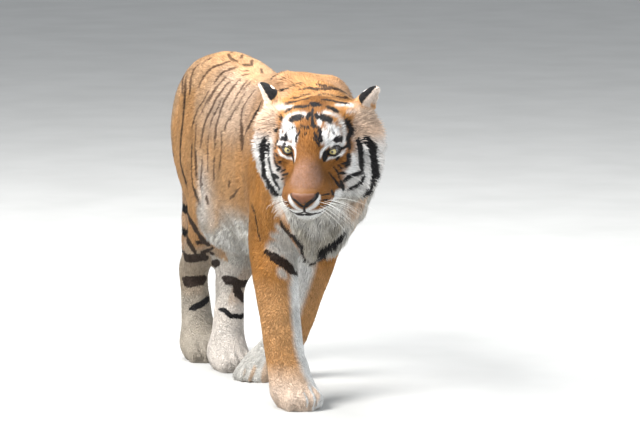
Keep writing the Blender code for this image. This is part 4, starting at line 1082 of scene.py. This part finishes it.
# %% Scatter the roots
SHARE = 1.0  # of the tufts
skin_mesh.calc_loop_triangles()
TRIANGLES = np.array([tuple(t.vertices) for t in skin_mesh.loop_triangles])
TRIANGLE_LOOPS = np.array([tuple(t.loops) for t in skin_mesh.loop_triangles])
a, b, c = POINTS[TRIANGLES].transpose(1, 0, 2)
AREAS = np.linalg.norm(np.cross(b - a, c - a), axis=1) / 2
bald = ((OWNER == "nose") | (POINTS[:, 2] < 0.004)).astype(float)  # the nose's pad and the soles
x, y, z = in_head(POINTS).T
bald = np.maximum(bald, (np.abs(x) < 0.032) & (np.abs(z + 0.086) < 0.018) & (y < -0.135))  # close round the pad
for matrix in EYE_FRAME.values():
    spots = in_frame(POINTS, matrix)
    across = np.hypot(spots[:, 0] / (ALMOND[0] + 0.0015), spots[:, 2] / (ALMOND[1] + 0.0015))
    bald = np.maximum(bald, (across < 1.0) & (spots[:, 1] < 0.01) & (np.linalg.norm(spots, axis=1) < 0.03))
RANDOM = np.random.default_rng(11)
wanted = AREAS * DENSITY[TRIANGLES].mean(axis=1) * (bald[TRIANGLES].max(axis=1) < 0.5) * SHARE
counts = np.floor(wanted + RANDOM.random(len(wanted))).astype(int)
HOME = np.repeat(np.arange(len(counts)), counts)
share = RANDOM.random((len(HOME), 2))
over = share.sum(axis=1) > 1
share[over] = 1 - share[over]
WEIGHTS = np.stack([1 - share.sum(axis=1), share[:, 0], share[:, 1]], axis=1)


def at_roots(rows):
    """A value of the skin's points, read off at the roots of the tufts."""
    return np.einsum("tk,tk...->t...", WEIGHTS, rows[TRIANGLES[HOME]])


print("skin area", round(float(AREAS.sum()), 2), "m2, tufts:", len(HOME))

# %% [markdown]
# Neighbouring tufts lean together, so besides its own chance each tuft follows a slow wave over the body, and the
# lengths follow another. Without them a coat looks like a brush.

# %% How each tuft lies
root, normal, flow = at_roots(POINTS), unit(at_roots(NORMALS)), at_roots(LIE)
flow = unit(flow - normal * np.sum(flow * normal, axis=1, keepdims=True))
across = np.cross(normal, flow)


def wave(points, scale, seed):
    """A slow, uneven value between -1 and 1."""
    rng = np.random.default_rng(seed)
    total = np.zeros(len(points))
    for _ in range(5):
        way = unit(rng.normal(size=3)) * scale * rng.uniform(0.6, 1.7)
        total += np.sin(points @ way + rng.uniform(0, 6.3))
    return np.clip(total / 2.6, -1, 1)


amount = len(HOME)
shaggy = step(0.026, 0.040, at_roots(LENGTH))  # 1 where the hair is long
swing = 0.16 * RANDOM.normal(size=amount) + 0.16 * wave(root, 110, 1) + 0.10 * wave(root, 35, 2)
for angle in (swing, shaggy * 0.38 * wave(root, 150, 7)):
    flow = flow * np.cos(angle)[:, None] + across * np.sin(angle)[:, None]
    across = np.cross(normal, flow)
length = at_roots(LENGTH) * (0.80 + 0.34 * RANDOM.random(amount)) * (1 + 0.14 * wave(root, 90, 3))
width = at_roots(WIDTH) * (0.75 + 0.5 * RANDOM.random(amount))
lift = at_roots(LIFT) * (0.80 + 0.45 * RANDOM.random(amount)) + (0.05 + 0.13 * shaggy) * wave(root, 120, 4)
tone = 0.5 + 0.28 * RANDOM.normal(size=amount) + 0.25 * wave(root, 60, 5) + 0.42 * shaggy * wave(root, 150, 8)
tone = tone + 0.13 * wave(root * (1, 1, 0.4), 330, 9)
is_long = length > 0.030
print("long tufts:", int(is_long.sum()), "mean length", round(float(length.mean() * 1000), 1), "mm")

# %% Shapes of a tuft
ROOTED = 0.0006  # metres by which the base of a tuft lies in the skin


def tuft_rows(chosen):
    """Root, way, side and normal of the chosen tufts, then length, half width and lift."""
    return (root[chosen], flow[chosen], across[chosen], normal[chosen],
            length[chosen, None], width[chosen, None] / 2, lift[chosen, None])


def spikes(chosen):
    """Four points and four triangles for each tuft, how far along it each point is, and which markings it reads."""
    r, t, s, n, l, w, a = tuft_rows(chosen)
    base = r - n * ROOTED
    points = np.stack([base - s * w, base + s * w, base + t * l * 0.12 + n * (w * 0.8 + ROOTED),
                       r + t * l * np.cos(a) + n * l * np.sin(a)], axis=1)
    faces = np.array(((0, 1, 3), (1, 2, 3), (0, 3, 2), (0, 2, 1)))
    return points, faces, np.array((0.0, 0.0, 0.15, 1.0)), (0, 0, 0, 2)


def bent(chosen):
    """The same with seven points and ten triangles: the tuft rises, then its tip lies down again."""
    r, t, s, n, l, w, a = tuft_rows(chosen)
    base = r - n * ROOTED
    waist = r + t * l * 0.5 * np.cos(a * 1.25) + n * l * 0.5 * np.sin(a * 1.25)
    tip = r + t * l * 0.98 * np.cos(a) + n * l * np.sin(a * 0.80)
    tip[:, 2] -= l[:, 0] * 0.10
    points = np.stack([base - s * w, base + s * w, base + t * l * 0.08 + n * (w * 0.8 + ROOTED),
                       waist - s * w * 0.62, waist + s * w * 0.62, waist + n * w * 0.6, tip], axis=1)
    faces = np.array(((0, 1, 4), (0, 4, 3), (1, 2, 5), (1, 5, 4), (2, 0, 3), (2, 3, 5),
                      (3, 4, 6), (4, 5, 6), (5, 3, 6), (0, 2, 1)))
    return points, faces, np.array((0.0, 0.0, 0.1, 0.5, 0.5, 0.55, 1.0)), (0, 0, 0, 1, 1, 1, 2)


# %% [markdown]
# A tuft reads the markings under its own length, so a stripe's edge breaks up along the hair. Each tuft also misses
# the edge by a little, most on the body and hardly at all on the face and the ears.

# %% Markings of the tufts
jitter = 0.06 * RANDOM.normal(size=(amount, 1))
tuft_parts, tuft_sides = at_roots(PARTS), np.sign(at_roots(SIDES))
on_head, on_ear = tuft_parts[:, KINDS.index("head")], tuft_parts[:, KINDS.index("ear")]
ragged = (1.3 - 0.8 * on_head - 0.9 * on_ear) * np.clip(RANDOM.normal(size=amount), -1.6, 1.6)  # millimetres


def marks_along(share, chosen=slice(None)):
    """The markings under a tuft, at a share of its length from the root."""
    spots = laid(root[chosen] + flow[chosen] * length[chosen, None] * np.clip(share + jitter[chosen], 0, 1))
    return markings(spots, normal[chosen], tuft_parts[chosen], tuft_sides[chosen])


LOW_MARKS, HIGH_MARKS = marks_along(0.42), marks_along(0.92)
LOW_MARKS = LOW_MARKS - (HIGH_MARKS - LOW_MARKS) * 0.42 / 0.50  # carried on down to the root
MIDDLE_MARKS = (LOW_MARKS + HIGH_MARKS) / 2
LOW_MARKS[is_long], MIDDLE_MARKS[is_long] = marks_along(0.15, is_long), marks_along(0.52, is_long)
for rows in (LOW_MARKS, MIDDLE_MARKS, HIGH_MARKS):
    rows[:, 0] += ragged
    rows[:, 1:] = np.clip(rows[:, 1:], 0, 1)
print("tufts in a stripe:", int((HIGH_MARKS[:, 0] > 0).sum()))

# %% [markdown]
# ## Meshes with their own map
# The skin is unwrapped once into islands. A tuft's corners all go to a small patch of that map at its root's place,
# so a texture made for the skin would fit the coat as well.

# %% Unwrap the skin
def link(name, mesh):
    obj = bpy.data.objects.new(name, mesh)
    bpy.context.scene.collection.objects.link(obj)
    return obj


def put_vectors(mesh, name, rows):
    """Three values for each point of a mesh, stored under a name."""
    layer = mesh.attributes.new(name, "FLOAT_VECTOR", "POINT")
    layer.data.foreach_set("vector", np.asarray(rows, np.float32).ravel())


def put_marks(mesh, marks, hair):
    """The markings and the hair's own values: how far along it and how light it is."""
    for name, rows in (("marks", marks[:, :3]), ("shades", marks[:, 3:6]), ("hair", hair)):
        put_vectors(mesh, name, rows)


skin = link("skin", skin_mesh)
bpy.context.view_layer.objects.active = skin
skin.select_set(True)
bpy.ops.object.mode_set(mode="EDIT")
bpy.ops.mesh.select_all(action="SELECT")
bpy.ops.uv.smart_project(angle_limit=math.radians(66), island_margin=0.002)
bpy.ops.object.mode_set(mode="OBJECT")
skin_mesh.uv_layers[0].name = "OFBake"
uv_rows = np.empty(len(skin_mesh.loops) * 2, np.float32)
skin_mesh.uv_layers[0].data.foreach_get("uv", uv_rows)
ROOT_UV = np.einsum("tk,tkc->tc", WEIGHTS, uv_rows.reshape(-1, 2)[TRIANGLE_LOOPS[HOME]])
skin_mesh.shade_smooth()
# the skin is coloured as hair near its root is, a painted shade under the coat
put_marks(skin_mesh, skin_marks, np.tile((0.15, 0.5, 0.0), (len(POINTS), 1)))
print("map of the skin:", len(skin_mesh.loops), "corners")

# %% Build the pieces of the coat
SPIKES_A_PIECE, BENT_A_PIECE = 48000, 19500  # so that no piece passes 200,000 triangles
PATCH = 0.0014  # half the width of a tuft's patch on the map
REGIONS = {"ear": "ears", "foreleg_upper": "forelegs", "foreleg_lower": "forelegs", "forepaw": "paws",
           "hindleg_upper": "hindlegs", "hindleg_lower": "hindlegs", "hindpaw": "paws"}
region = np.array([REGIONS.get(kind, kind) for kind in KIND])[TRIANGLES[HOME, 0]]


def coat_mesh(name, chosen, shape):
    points, faces, along, levels = shape(chosen)
    many, each = points.shape[:2]
    points[..., 2] = np.maximum(points[..., 2], 0.0008)  # no hair under the floor
    corners = (faces[None] + (np.arange(many) * each)[:, None, None]).reshape(-1, 3)
    mesh = bpy.data.meshes.new(name)
    mesh.vertices.add(many * each)
    mesh.vertices.foreach_set("co", points.astype(np.float32).ravel())
    mesh.loops.add(corners.size)
    mesh.loops.foreach_set("vertex_index", corners.astype(np.int32).ravel())
    mesh.polygons.add(len(corners))
    mesh.polygons.foreach_set("loop_start", np.arange(0, corners.size, 3, dtype=np.int32))
    mesh.update(calc_edges=True)
    offsets = np.array([(math.cos(k * 2.4), math.sin(k * 2.4)) for k in range(each)]) * PATCH
    spread = ROOT_UV[chosen][:, None, :] + offsets[None]
    layer = mesh.uv_layers.new(name="OFBake")
    layer.data.foreach_set("uv", spread.reshape(-1, 2)[corners.ravel()].astype(np.float32).ravel())
    rows = [kept[chosen] for kept in (LOW_MARKS, MIDDLE_MARKS, HIGH_MARKS)]
    marks = np.stack([rows[level] for level in levels], axis=1).reshape(many * each, -1)
    tones = np.repeat(np.clip(tone[chosen], 0, 1), each)
    put_marks(mesh, marks, np.stack([np.tile(along, many), tones, np.zeros(many * each)], axis=1))
    return mesh


SHAPES = ((spikes, ~is_long, "short", SPIKES_A_PIECE), (bent, is_long, "long", BENT_A_PIECE))
COAT_PIECES = []
for place in sorted(set(region)):
    for shape, fits, label, limit in SHAPES:
        chosen = np.flatnonzero((region == place) & fits)
        chosen = chosen[np.argsort(root[chosen, 0], kind="stable")]
        count = math.ceil(len(chosen) / limit)
        for k, group in enumerate(np.array_split(chosen, count) if count else ()):
            name = f"coat_{place}_{label}" + (f"_{k + 1}" if count > 1 else "")
            COAT_PIECES.append(link(name, coat_mesh(name, group, shape)))
print("coat pieces:", {o.name: len(o.data.polygons) for o in COAT_PIECES})
print("coat triangles:", sum(len(o.data.polygons) for o in COAT_PIECES))

# %% [markdown]
# ## One colour rule for skin and hair
# Two materials, one for skin and one for hair, would soon drift apart, so one function makes both. It reads the
# stored markings and turns them into colour: tan towards orange, and on the face a deep orange darkened as painted
# shade, then rose, and white that is greyed and darkened by painted shade in places, then nearly black. Because a
# marking is stored as a depth inside its edge, the edge is drawn by the shader and is sharper than the mesh. Hair is
# darker at the root than at the tip, a painted shade for the depth of the coat, and the skin is darkened like the
# roots; a little noise keeps tufts from matching exactly.

# %% A small language for materials
class Socket:
    """A shader value that takes part in plain arithmetic."""

    def __init__(self, tree, output):
        self.tree, self.output = tree, output

    def node(self, kind, settings=None, **inputs):
        """A new node. Inputs go by name, with _ for a space, or by number, as in _0."""
        made = self.tree.nodes.new(kind)
        for key, value in (settings or {}).items():
            setattr(made, key, value)
        for key, value in inputs.items():
            plug = made.inputs[int(key[1:]) if key[1:].isdigit() else key.replace("_", " ")]
            if isinstance(value, Socket):
                self.tree.links.new(value.output, plug)
            else:
                plug.default_value = value
        return made

    def maths(self, how, other=0.0, clamp=False):
        made = self.node("ShaderNodeMath", {"operation": how, "use_clamp": clamp}, _0=self, _1=other)
        return Socket(self.tree, made.outputs[0])

    def held(self):
        """The same value, kept between 0 and 1."""
        return self.maths("ADD", clamp=True)

    def __add__(self, other):
        return self.maths("ADD", other)

    def __sub__(self, other):
        return self.maths("SUBTRACT", other)

    def __mul__(self, other):
        return self.maths("MULTIPLY", other)

    def __rsub__(self, other):
        return (self * -1.0) + other

    __radd__, __rmul__ = __add__, __mul__

    def between(self, low, high):
        made = self.node("ShaderNodeMapRange", {"interpolation_type": "SMOOTHSTEP"}, Value=self, From_Min=low,
                         From_Max=high)
        return Socket(self.tree, made.outputs["Result"])

    def mix(self, a, b):
        """Colour a where this is 0 and colour b where it is 1."""
        made = self.node("ShaderNodeMix", {"data_type": "RGBA"}, _0=self, _6=a, _7=b)
        return Socket(self.tree, made.outputs[2])

    def scaled(self, amount):
        """A colour made lighter or darker by a value."""
        made = self.node("ShaderNodeVectorMath", {"operation": "SCALE"}, _0=self, Scale=amount)
        return Socket(self.tree, made.outputs[0])

    def feed(self, shader, name):
        self.tree.links.new(self.output, shader.inputs[name])

    def bump(self, shader, strength, distance):
        made = self.node("ShaderNodeBump", Height=self, Strength=strength, Distance=distance)
        self.tree.links.new(made.outputs[0], shader.inputs["Normal"])


def blank(name, roughness=0.6, **constants):
    """A material, its shader, and the place of a spot on the object."""
    material = bpy.data.materials.new(name)
    material.use_nodes = True
    tree = material.node_tree
    shader = tree.nodes["Principled BSDF"]
    shader.inputs["Roughness"].default_value = roughness
    for key, value in constants.items():
        shader.inputs[key.replace("_", " ")].default_value = value
    return material, shader, Socket(tree, tree.nodes.new("ShaderNodeTexCoord").outputs["Object"])


def noise(spot, scale, detail=3.0):
    return Socket(spot.tree, spot.node("ShaderNodeTexNoise", Vector=spot, Scale=scale, Detail=detail).outputs[0])


def attribute(spot, name):
    """The three values stored under a name."""
    made = spot.node("ShaderNodeAttribute", {"attribute_name": name})
    split = spot.node("ShaderNodeSeparateXYZ", _0=Socket(spot.tree, made.outputs["Vector"]))
    return [Socket(spot.tree, output) for output in split.outputs]


print("operators:", [name for name in vars(Socket) if name.startswith("__r")])

# %% The hide and the hair
# the third of these is the face's deep orange, darkened as painted shade of the lowered face
TAN, ORANGE, SHADED_DEEP_ORANGE = (0.60, 0.355, 0.170, 1), (0.47, 0.215, 0.055, 1), (0.21, 0.080, 0.014, 1)
# the second of these is white greyed and darkened as painted shade
WHITE, SHADED_GREY_WHITE, ROSE = (0.78, 0.78, 0.77, 1), (0.375, 0.35, 0.30, 1), (0.30, 0.165, 0.110, 1)
DARK, BROWN = (0.010, 0.009, 0.010, 1), (0.075, 0.034, 0.018, 1)


def coat_material(name, is_skin):
    material, shader, spot = blank(name, roughness=0.62, Specular_IOR_Level=0.22)
    stripe, white, warm = attribute(spot, "marks")
    rose, brown, grey_and_shade = attribute(spot, "shades")
    along, tone, _ = attribute(spot, "hair")
    patchy = noise(spot, 14.0)
    ground = (warm * 1.6 + (patchy - 0.5) * 0.45).held().mix(TAN, ORANGE)
    # the face's deep orange: its warm colour darkened as painted shade of the lowered face
    ground = (warm * 3.0 - 2.0).held().mix(ground, SHADED_DEEP_ORANGE)
    ground = (rose * (noise(spot, 210.0) * 2.6 - 0.42)).held().mix(ground, ROSE)
    # white greyed and darkened as painted shade where the third stored shade value is high
    ground = (white + (patchy - 0.5) * 0.10).held().mix(ground, grey_and_shade.mix(WHITE, SHADED_GREY_WHITE))
    edge = stripe * (1.0 - brown * 0.62) + (noise(spot, 160.0) - 0.5) * brown * 1.8
    colour = (edge.between(-0.7, 0.7) * (1.0 - brown * 0.14)).mix(ground, brown.mix(DARK, BROWN))
    # painted shade: darker towards each tuft's root; the tone and the noise are the tufts' own varying lightness
    shade = (along * 0.44 + 0.66) * (tone * 0.60 + 0.70) * (noise(spot, 420.0, 2.0) * 0.24 + 0.88)
    colour.scaled(shade).feed(shader, "Base Color")
    if is_skin:
        noise(spot, 260.0, 4.0).bump(shader, 0.5, 0.002)
    else:
        (tone * -0.12 + 0.66).feed(shader, "Roughness")
    return material


skin_mesh.materials.clear()
skin_mesh.materials.append(coat_material("hide", True))
hair_material = coat_material("hair", False)
for piece in COAT_PIECES:
    piece.data.materials.append(hair_material)
print("nodes in the hair's material:", len(hair_material.node_tree.nodes))

# %% [markdown]
# ## The eyes
# A tiger's iris is yellow to amber with a dark rim, and by day its round pupil is small. Only the front of each ball
# shows. A picture of an iris would do, but rings drawn by their distance from the pupil's middle stay sharp and need
# no map. The clear front stands out a little, so that a lamp is mirrored in it as in a wet eye.

# %% Eyeballs
GAZE = HEAD.to_3x3() @ Vector((0.0, -1, 0.0))
IRIS = 0.0118  # the iris's radius
CORNEA, CORNEA_RISE = 0.0125, 0.0011  # the clear front's radius, and how far it stands out over the iris
IRIS_INSIDE, IRIS_OUTSIDE, FIBRE = (0.52, 0.48, 0.25, 1), (0.43, 0.37, 0.15, 1), (0.36, 0.26, 0.07, 1)
RIM, EYE_WHITE, PUPIL = (0.03, 0.022, 0.012, 1), (0.016, 0.011, 0.008, 1), (0.004, 0.004, 0.004, 1)


def eye_material():
    """Colours by how far out from the pupil's middle a spot lies, where 1 is the iris's edge."""
    material, shader, spot = blank("eyeball", roughness=0.10, Coat_Weight=1.0, Coat_Roughness=0.03)
    out, turn, _ = attribute(spot, "gaze")
    ray = Socket(spot.tree, spot.node("ShaderNodeCombineXYZ", X=turn * 9.0, Y=out * 1.5, Z=0.0).outputs[0])
    iris = (out * 1.1).held().mix(IRIS_INSIDE, IRIS_OUTSIDE)
    iris = noise(ray, 3.0, 4.0).between(0.35, 0.75).mix(iris, FIBRE)
    colour = out.between(0.80, 0.98).mix(iris, RIM)
    colour = out.between(1.02, 1.10).mix(colour, EYE_WHITE)
    out.between(0.34, 0.29).mix(colour, PUPIL).feed(shader, "Base Color")
    return material


EYE_FINISH = eye_material()
EYES = []
for name, middle in EYE_MIDDLE.items():
    work = bmesh.new()
    bmesh.ops.create_uvsphere(work, u_segments=64, v_segments=40, radius=BALL)
    rows = []
    for vertex in work.verts:
        x, y, z = vertex.co
        away = math.hypot(x, y)
        rows.append((away / IRIS if z > 0 else 3.0, math.atan2(y, x), 0.0))
        if z > 0:
            vertex.co.z += CORNEA_RISE * max(0.0, 1 - (away / CORNEA) ** 2) ** 1.5
    turn = GAZE.to_track_quat("Z", "Y").to_matrix().to_4x4()
    bmesh.ops.transform(work, matrix=Matrix.Translation(middle) @ turn, verts=work.verts)
    mesh = bpy.data.meshes.new("eyeball_" + name)
    work.to_mesh(mesh)
    work.free()
    put_vectors(mesh, "gaze", rows)
    mesh.shade_smooth()
    mesh.materials.append(EYE_FINISH)
    EYES.append(link("eyeball_" + name, mesh))
print("eyeballs:", len(EYES), "radius", BALL)

# %% [markdown]
# ## Lids, lips and whiskers
# The dark margin of a lid, the dark line of the lips and the whiskers are all tubes: a path and a radius along it. A
# curve with a bevel could be swept along each, but a whisker needs only five sides and a lid needs eight, and one
# function that lays rings along a path gives exactly that.

# %% Tubes
def tube(path, radii, sides=8, loop=False):
    """A closed tube along a path of points."""
    path = [Vector(p) for p in path]
    work = bmesh.new()
    rings, count = [], len(path)
    up = Vector((0.13, 0.21, 0.97)).normalized()
    for k, point in enumerate(path):
        before, after = (k - 1, (k + 1) % count) if loop else (max(k - 1, 0), min(k + 1, count - 1))
        way = (path[after] - path[before]).normalized()
        one = way.cross(up).normalized()
        two = way.cross(one)
        angles = [2 * math.pi * j / sides for j in range(sides)]
        rings.append([work.verts.new(point + (one * math.cos(t) + two * math.sin(t)) * radii[k]) for t in angles])
    for k in range(count if loop else count - 1):
        a, b = rings[k], rings[(k + 1) % count]
        for j in range(sides):
            work.faces.new((a[j], a[(j + 1) % sides], b[(j + 1) % sides], b[j]))
    if not loop:
        work.faces.new(reversed(rings[0]))
        work.faces.new(rings[-1])
    bmesh.ops.recalc_face_normals(work, faces=work.faces)
    return work


def finished(name, works, material):
    """One object from several tubes."""
    mesh, part, total = bpy.data.meshes.new(name), bpy.data.meshes.new("part"), bmesh.new()
    for work in works:
        work.to_mesh(part)
        work.free()
        total.from_mesh(part)
    bpy.data.meshes.remove(part)
    total.to_mesh(mesh)
    total.free()
    mesh.shade_smooth()
    mesh.materials.append(material)
    return link(name, mesh)


def plain_material(name, low, high, scale, roughness, depth):
    """Two close colours mixed by noise, with a fine grain."""
    material, shader, spot = blank(name, roughness=roughness)
    noise(spot, scale).between(0.3, 0.7).mix(low, high).feed(shader, "Base Color")
    noise(spot, scale * 3).bump(shader, 0.4, depth)
    return material


LID_FINISH = plain_material("lid_margin", (0.010, 0.008, 0.007, 1), (0.022, 0.016, 0.013, 1), 300, 0.35, 0.0004)
LID_POINTS, LID_RISE, UPPER_LID, LOWER_LID = 44, 0.0012, 0.0021, 0.0016
lids = []
for matrix in EYE_FRAME.values():
    path, radii = [], []
    for k in range(LID_POINTS):
        angle = 2 * math.pi * k / LID_POINTS
        x = ALMOND[0] * 1.02 * math.copysign(abs(math.cos(angle)) ** 0.85, math.cos(angle))
        edge = ALMOND[1] * (1 - min(1, abs(x) / ALMOND[0]) ** 2.2)
        z = math.copysign(edge, math.sin(angle)) if abs(math.sin(angle)) > 1e-6 else 0.0
        y = -math.sqrt((BALL + LID_RISE) ** 2 - x * x - z * z)
        path.append(matrix @ Vector((x, y, z)))
        radii.append(LOWER_LID if z < 0 else UPPER_LID)
    lids.append(tube(path, radii, loop=True))
lid_piece = finished("lid_margins", lids, LID_FINISH)
print("lid margins:", len(lid_piece.data.polygons), "faces")

# %% [markdown]
# The nose pad is bare leather, dark along its lower edge, with two nostrils that curl outwards and are painted near
# black as the shade inside them. Nostrils cut by a Boolean would have hard rims, so the pad's own solid is remeshed,
# smoothed, and pushed in for the nostrils and where the hair begins above it.

# %% The nose pad
LEATHER = ((0.105, 0.040, 0.018, 1), (0.15, 0.058, 0.027, 1))
PAD_TOP, PAD_EDGE, NOSTRIL_SHADE = (0.22, 0.112, 0.068, 1), (0.020, 0.014, 0.012, 1), (0.006, 0.004, 0.004, 1)
NOSTRIL, NOSTRIL_DEPTH = (0.0190, -0.0960), 0.004  # across and up in the head's frame; metres


def nose_material():
    material, shader, spot = blank("nose_pad", roughness=0.55, Specular_IOR_Level=0.3)
    rim, hole, top = attribute(spot, "pad")
    colour = top.mix(noise(spot, 60.0).between(0.3, 0.7).mix(*LEATHER), PAD_TOP)
    # the nostrils painted near black, a painted shade for their hollows
    hole.mix(rim.mix(colour, PAD_EDGE), NOSTRIL_SHADE).feed(shader, "Base Color")
    noise(spot, 700.0, 2.0).bump(shader, 0.9, 0.0009)
    return material


nose_mesh = remeshed(("nose",), 0.0017)
rows = softened(points_of(nose_mesh), 6, links=links_of(nose_mesh))
put_points(nose_mesh, rows)
pad = in_head(rows)
across, up = np.abs(pad[:, 0]), pad[:, 2]
holes = np.zeros(len(pad))
for side in (-1, 1):
    curl = up - NOSTRIL[1] - 0.30 * (across - NOSTRIL[0])
    holes = np.maximum(holes, 1 - step(0.75, 1.15, np.hypot((pad[:, 0] - side * NOSTRIL[0]) / 0.0095, curl / 0.0052)))
top = step(-0.082, -0.068, up)
low_edge = -0.082 - 0.026 * (1 - np.clip(across / 0.038, 0, 1)) ** 0.8
rim = np.maximum(1 - step(0.0, 0.010, up - low_edge), step(0.029, 0.036, across) * 0.9)
put_points(nose_mesh, rows - normals_of(nose_mesh) * (NOSTRIL_DEPTH * holes + 0.0024 * top)[:, None])
put_vectors(nose_mesh, "pad", np.stack([rim, holes, top], axis=1))
nose_mesh.materials.clear()
nose_mesh.materials.append(nose_material())
nose_mesh.shade_smooth()
nose_piece = link("nose_pad", nose_mesh)
print("nose pad from", pad.min(axis=0).round(3), "to", pad.max(axis=0).round(3))

# %% Lips
LIP_HALF = ((9, -143, -141, 0.0022), (24, -135, -146, 0.0024), (42, -122, -148, 0.0024), (58, -108, -146, 0.002),
            (72, -90, -140, 0.0012))  # millimetres in the head's frame, then the radius in metres
LIPS = [*((-x, y, z, r) for x, y, z, r in reversed(LIP_HALF)), (0, -147, -136, 0.002), *LIP_HALF]
PHILTRUM = ((0, -160, -114, 0.0016), (0, -156, -126, 0.0014), (0, -147, -136, 0.0016))


def on_skin(point, off=0.0):
    """The point of the skin nearest to a point of the head's frame, in millimetres, raised by off metres."""
    place, normal, *_ = SKIN_TREE.find_nearest(head_spot(point))
    return place + normal * off


LIP_FINISH = plain_material("lip", (0.014, 0.011, 0.010, 1), (0.030, 0.022, 0.018, 1), 200, 0.5, 0.0006)
lip_tubes = []
for line, rise in ((LIPS, 0.001), (PHILTRUM, 0.0006)):
    lip_tubes.append(tube([on_skin(p[:3], rise) for p in line], [p[3] for p in line]))
lip_piece = finished("lips", lip_tubes, LIP_FINISH)
print("lips:", len(lip_piece.data.polygons), "faces")

# %% [markdown]
# Whiskers grow in four rows on each side of the muzzle, and a few stand over each eye. They taper to a point and sag
# under their own weight, so a straight line with a little sag is closer to them than any drawn curve.

# %% Whiskers
WHISKER_FINISH = plain_material("whisker", (0.80, 0.78, 0.74, 1), (0.88, 0.87, 0.84, 1), 40, 0.4, 0.0002)
WHISKER, BROW_HAIR = 0.00062, 0.0005  # radius at the root
SAG = 0.030  # metres, for a whisker of 0.1 m
SHORT_SIDE = 0.55  # the right side's are shorter, to stay in the room round the solids
OUTERMOST = CAD_BOX[0][0] - 0.014


def tapered(path, radius):
    return tube(path, [radius * (1 - 0.8 * t) for t in np.linspace(0, 1, len(path))], sides=5)


whiskers = []
for side in (-1, 1):
    for row in range(4):
        for k in range(5):
            first = on_skin((side * (38 + 7 * k), -136 + 9.5 * k, -104 - 8 * row - 1.5 * k), -0.001)
            reach = RANDOM.uniform(0.075, 0.125) * (0.75 + 0.10 * k) * (1.0 if side > 0 else SHORT_SIDE)
            way = Vector((side, 0.15 + 0.12 * k, -0.22 - 0.17 * row + RANDOM.uniform(-0.08, 0.08))).normalized()
            path = []
            for part in np.linspace(0, 1, 9):
                spot = HEAD.to_3x3() @ (way * reach * part)
                spot.z -= SAG * part ** 2.2 * (reach / 0.1)
                spot += first
                spot.x = max(spot.x, OUTERMOST)
                path.append(spot)
            whiskers.append(tapered(path, WHISKER))
for side in (-1, 1):
    for k in range(4):
        first = on_skin((side * (42 + 5 * k), 0, 40 + 2 * k), -0.001)
        way = Vector((side * 0.35, -0.35, 1)).normalized() * RANDOM.uniform(0.03, 0.045)
        whiskers.append(tapered([first + HEAD.to_3x3() @ (way * t) for t in np.linspace(0, 1, 6)], BROW_HAIR))
whisker_piece = finished("whiskers", whiskers, WHISKER_FINISH)
print("whiskers:", len(whiskers))

# %% [markdown]
# ## The pieces on the body
# Every piece stays with the one body. The skin takes the place of all the solids of flesh, and the eyeballs and the
# nose pad take the place of theirs, whose solids are hidden.

for piece in [skin, *COAT_PIECES, lid_piece, lip_piece, whisker_piece]:
    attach(piece, "root")
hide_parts(*FLESH)
for piece, node in zip(EYES, EYE_MIDDLE):
    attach(piece, "root")
    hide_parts("eye_" + node)
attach(nose_piece, "root")
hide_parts("nose")
print("pieces of the coat declared:", len(COAT_PIECES))

# %% [markdown]
# ## Floor, light and camera
# A plain pale floor and broad, soft lamps show the form and leave no hard shadow. The camera stands far off with a
# long lens, two and a half metres up and a little to the animal's right.

# %% The studio
LAMPS = {  # place, size, power and colour; all point at the middle of the body
    "key": ((-5.2, -1.5, 5.3), 4.0, 1180, (1.0, 0.985, 0.96)),
    "fill": ((4.5, -5.0, 3.0), 5.0, 280, (0.93, 0.97, 1.0)),
    "top": ((0.0, 1.6, 6.5), 4.0, 620, (1, 1, 1)),
}
LIT = Vector((0, 0, 0.6))
SKY, SKY_POWER = (0.86, 0.90, 0.95, 1), 0.62

bpy.ops.mesh.primitive_plane_add(size=60, location=(0, 0, 0))
floor = bpy.context.object
floor.name = "floor"
floor_finish, shader, spot = blank("floor_paint", roughness=0.9)
noise(spot, 3.0).between(0.2, 0.8).mix((0.42, 0.42, 0.41, 1), (0.46, 0.46, 0.45, 1)).feed(shader, "Base Color")
floor.data.materials.append(floor_finish)
for name, (place, size, power, colour) in LAMPS.items():
    lamp = bpy.data.lights.new(name, "AREA")
    lamp.shape, lamp.size, lamp.energy, lamp.color = "DISK", size, power, colour
    lamp_object = link(name, lamp)
    lamp_object.location = place
    lamp_object.rotation_euler = (LIT - Vector(place)).to_track_quat("-Z", "Y").to_euler()
world = bpy.data.worlds.new("world")
world.use_nodes = True
background = world.node_tree.nodes["Background"]
background.inputs[0].default_value, background.inputs[1].default_value = SKY, SKY_POWER
bpy.context.scene.world = world
bpy.context.scene.view_settings.view_transform = "Standard"
print("lamps:", len(LAMPS))

# %% The camera
TURN, RISE = math.radians(-21), math.radians(7)  # round the animal from straight ahead, and up
FAR = 15.6  # metres from the right forefoot
OFF_RIGHT, OFF_UP = 0.0673, 0.5733  # from that foot to the middle of the view
right = Vector((math.cos(TURN), math.sin(TURN), 0))
behind = Vector((math.sin(TURN) * math.cos(RISE), -math.cos(TURN) * math.cos(RISE), math.sin(RISE)))
upward = behind.cross(right)
place = Vector(PAWS["forepaw_right"][0]) + SHIFT + behind * FAR + right * OFF_RIGHT + upward * OFF_UP
camera_data = bpy.data.cameras.new("camera")
camera_data.lens, camera_data.sensor_width, camera_data.clip_end = 300, 36, 200
camera = link("camera", camera_data)
camera.matrix_world = Matrix.Translation(place) @ Matrix((right, upward, behind)).transposed().to_4x4()
bpy.context.scene.camera = camera
print("camera", round(place.z, 2), "m up")
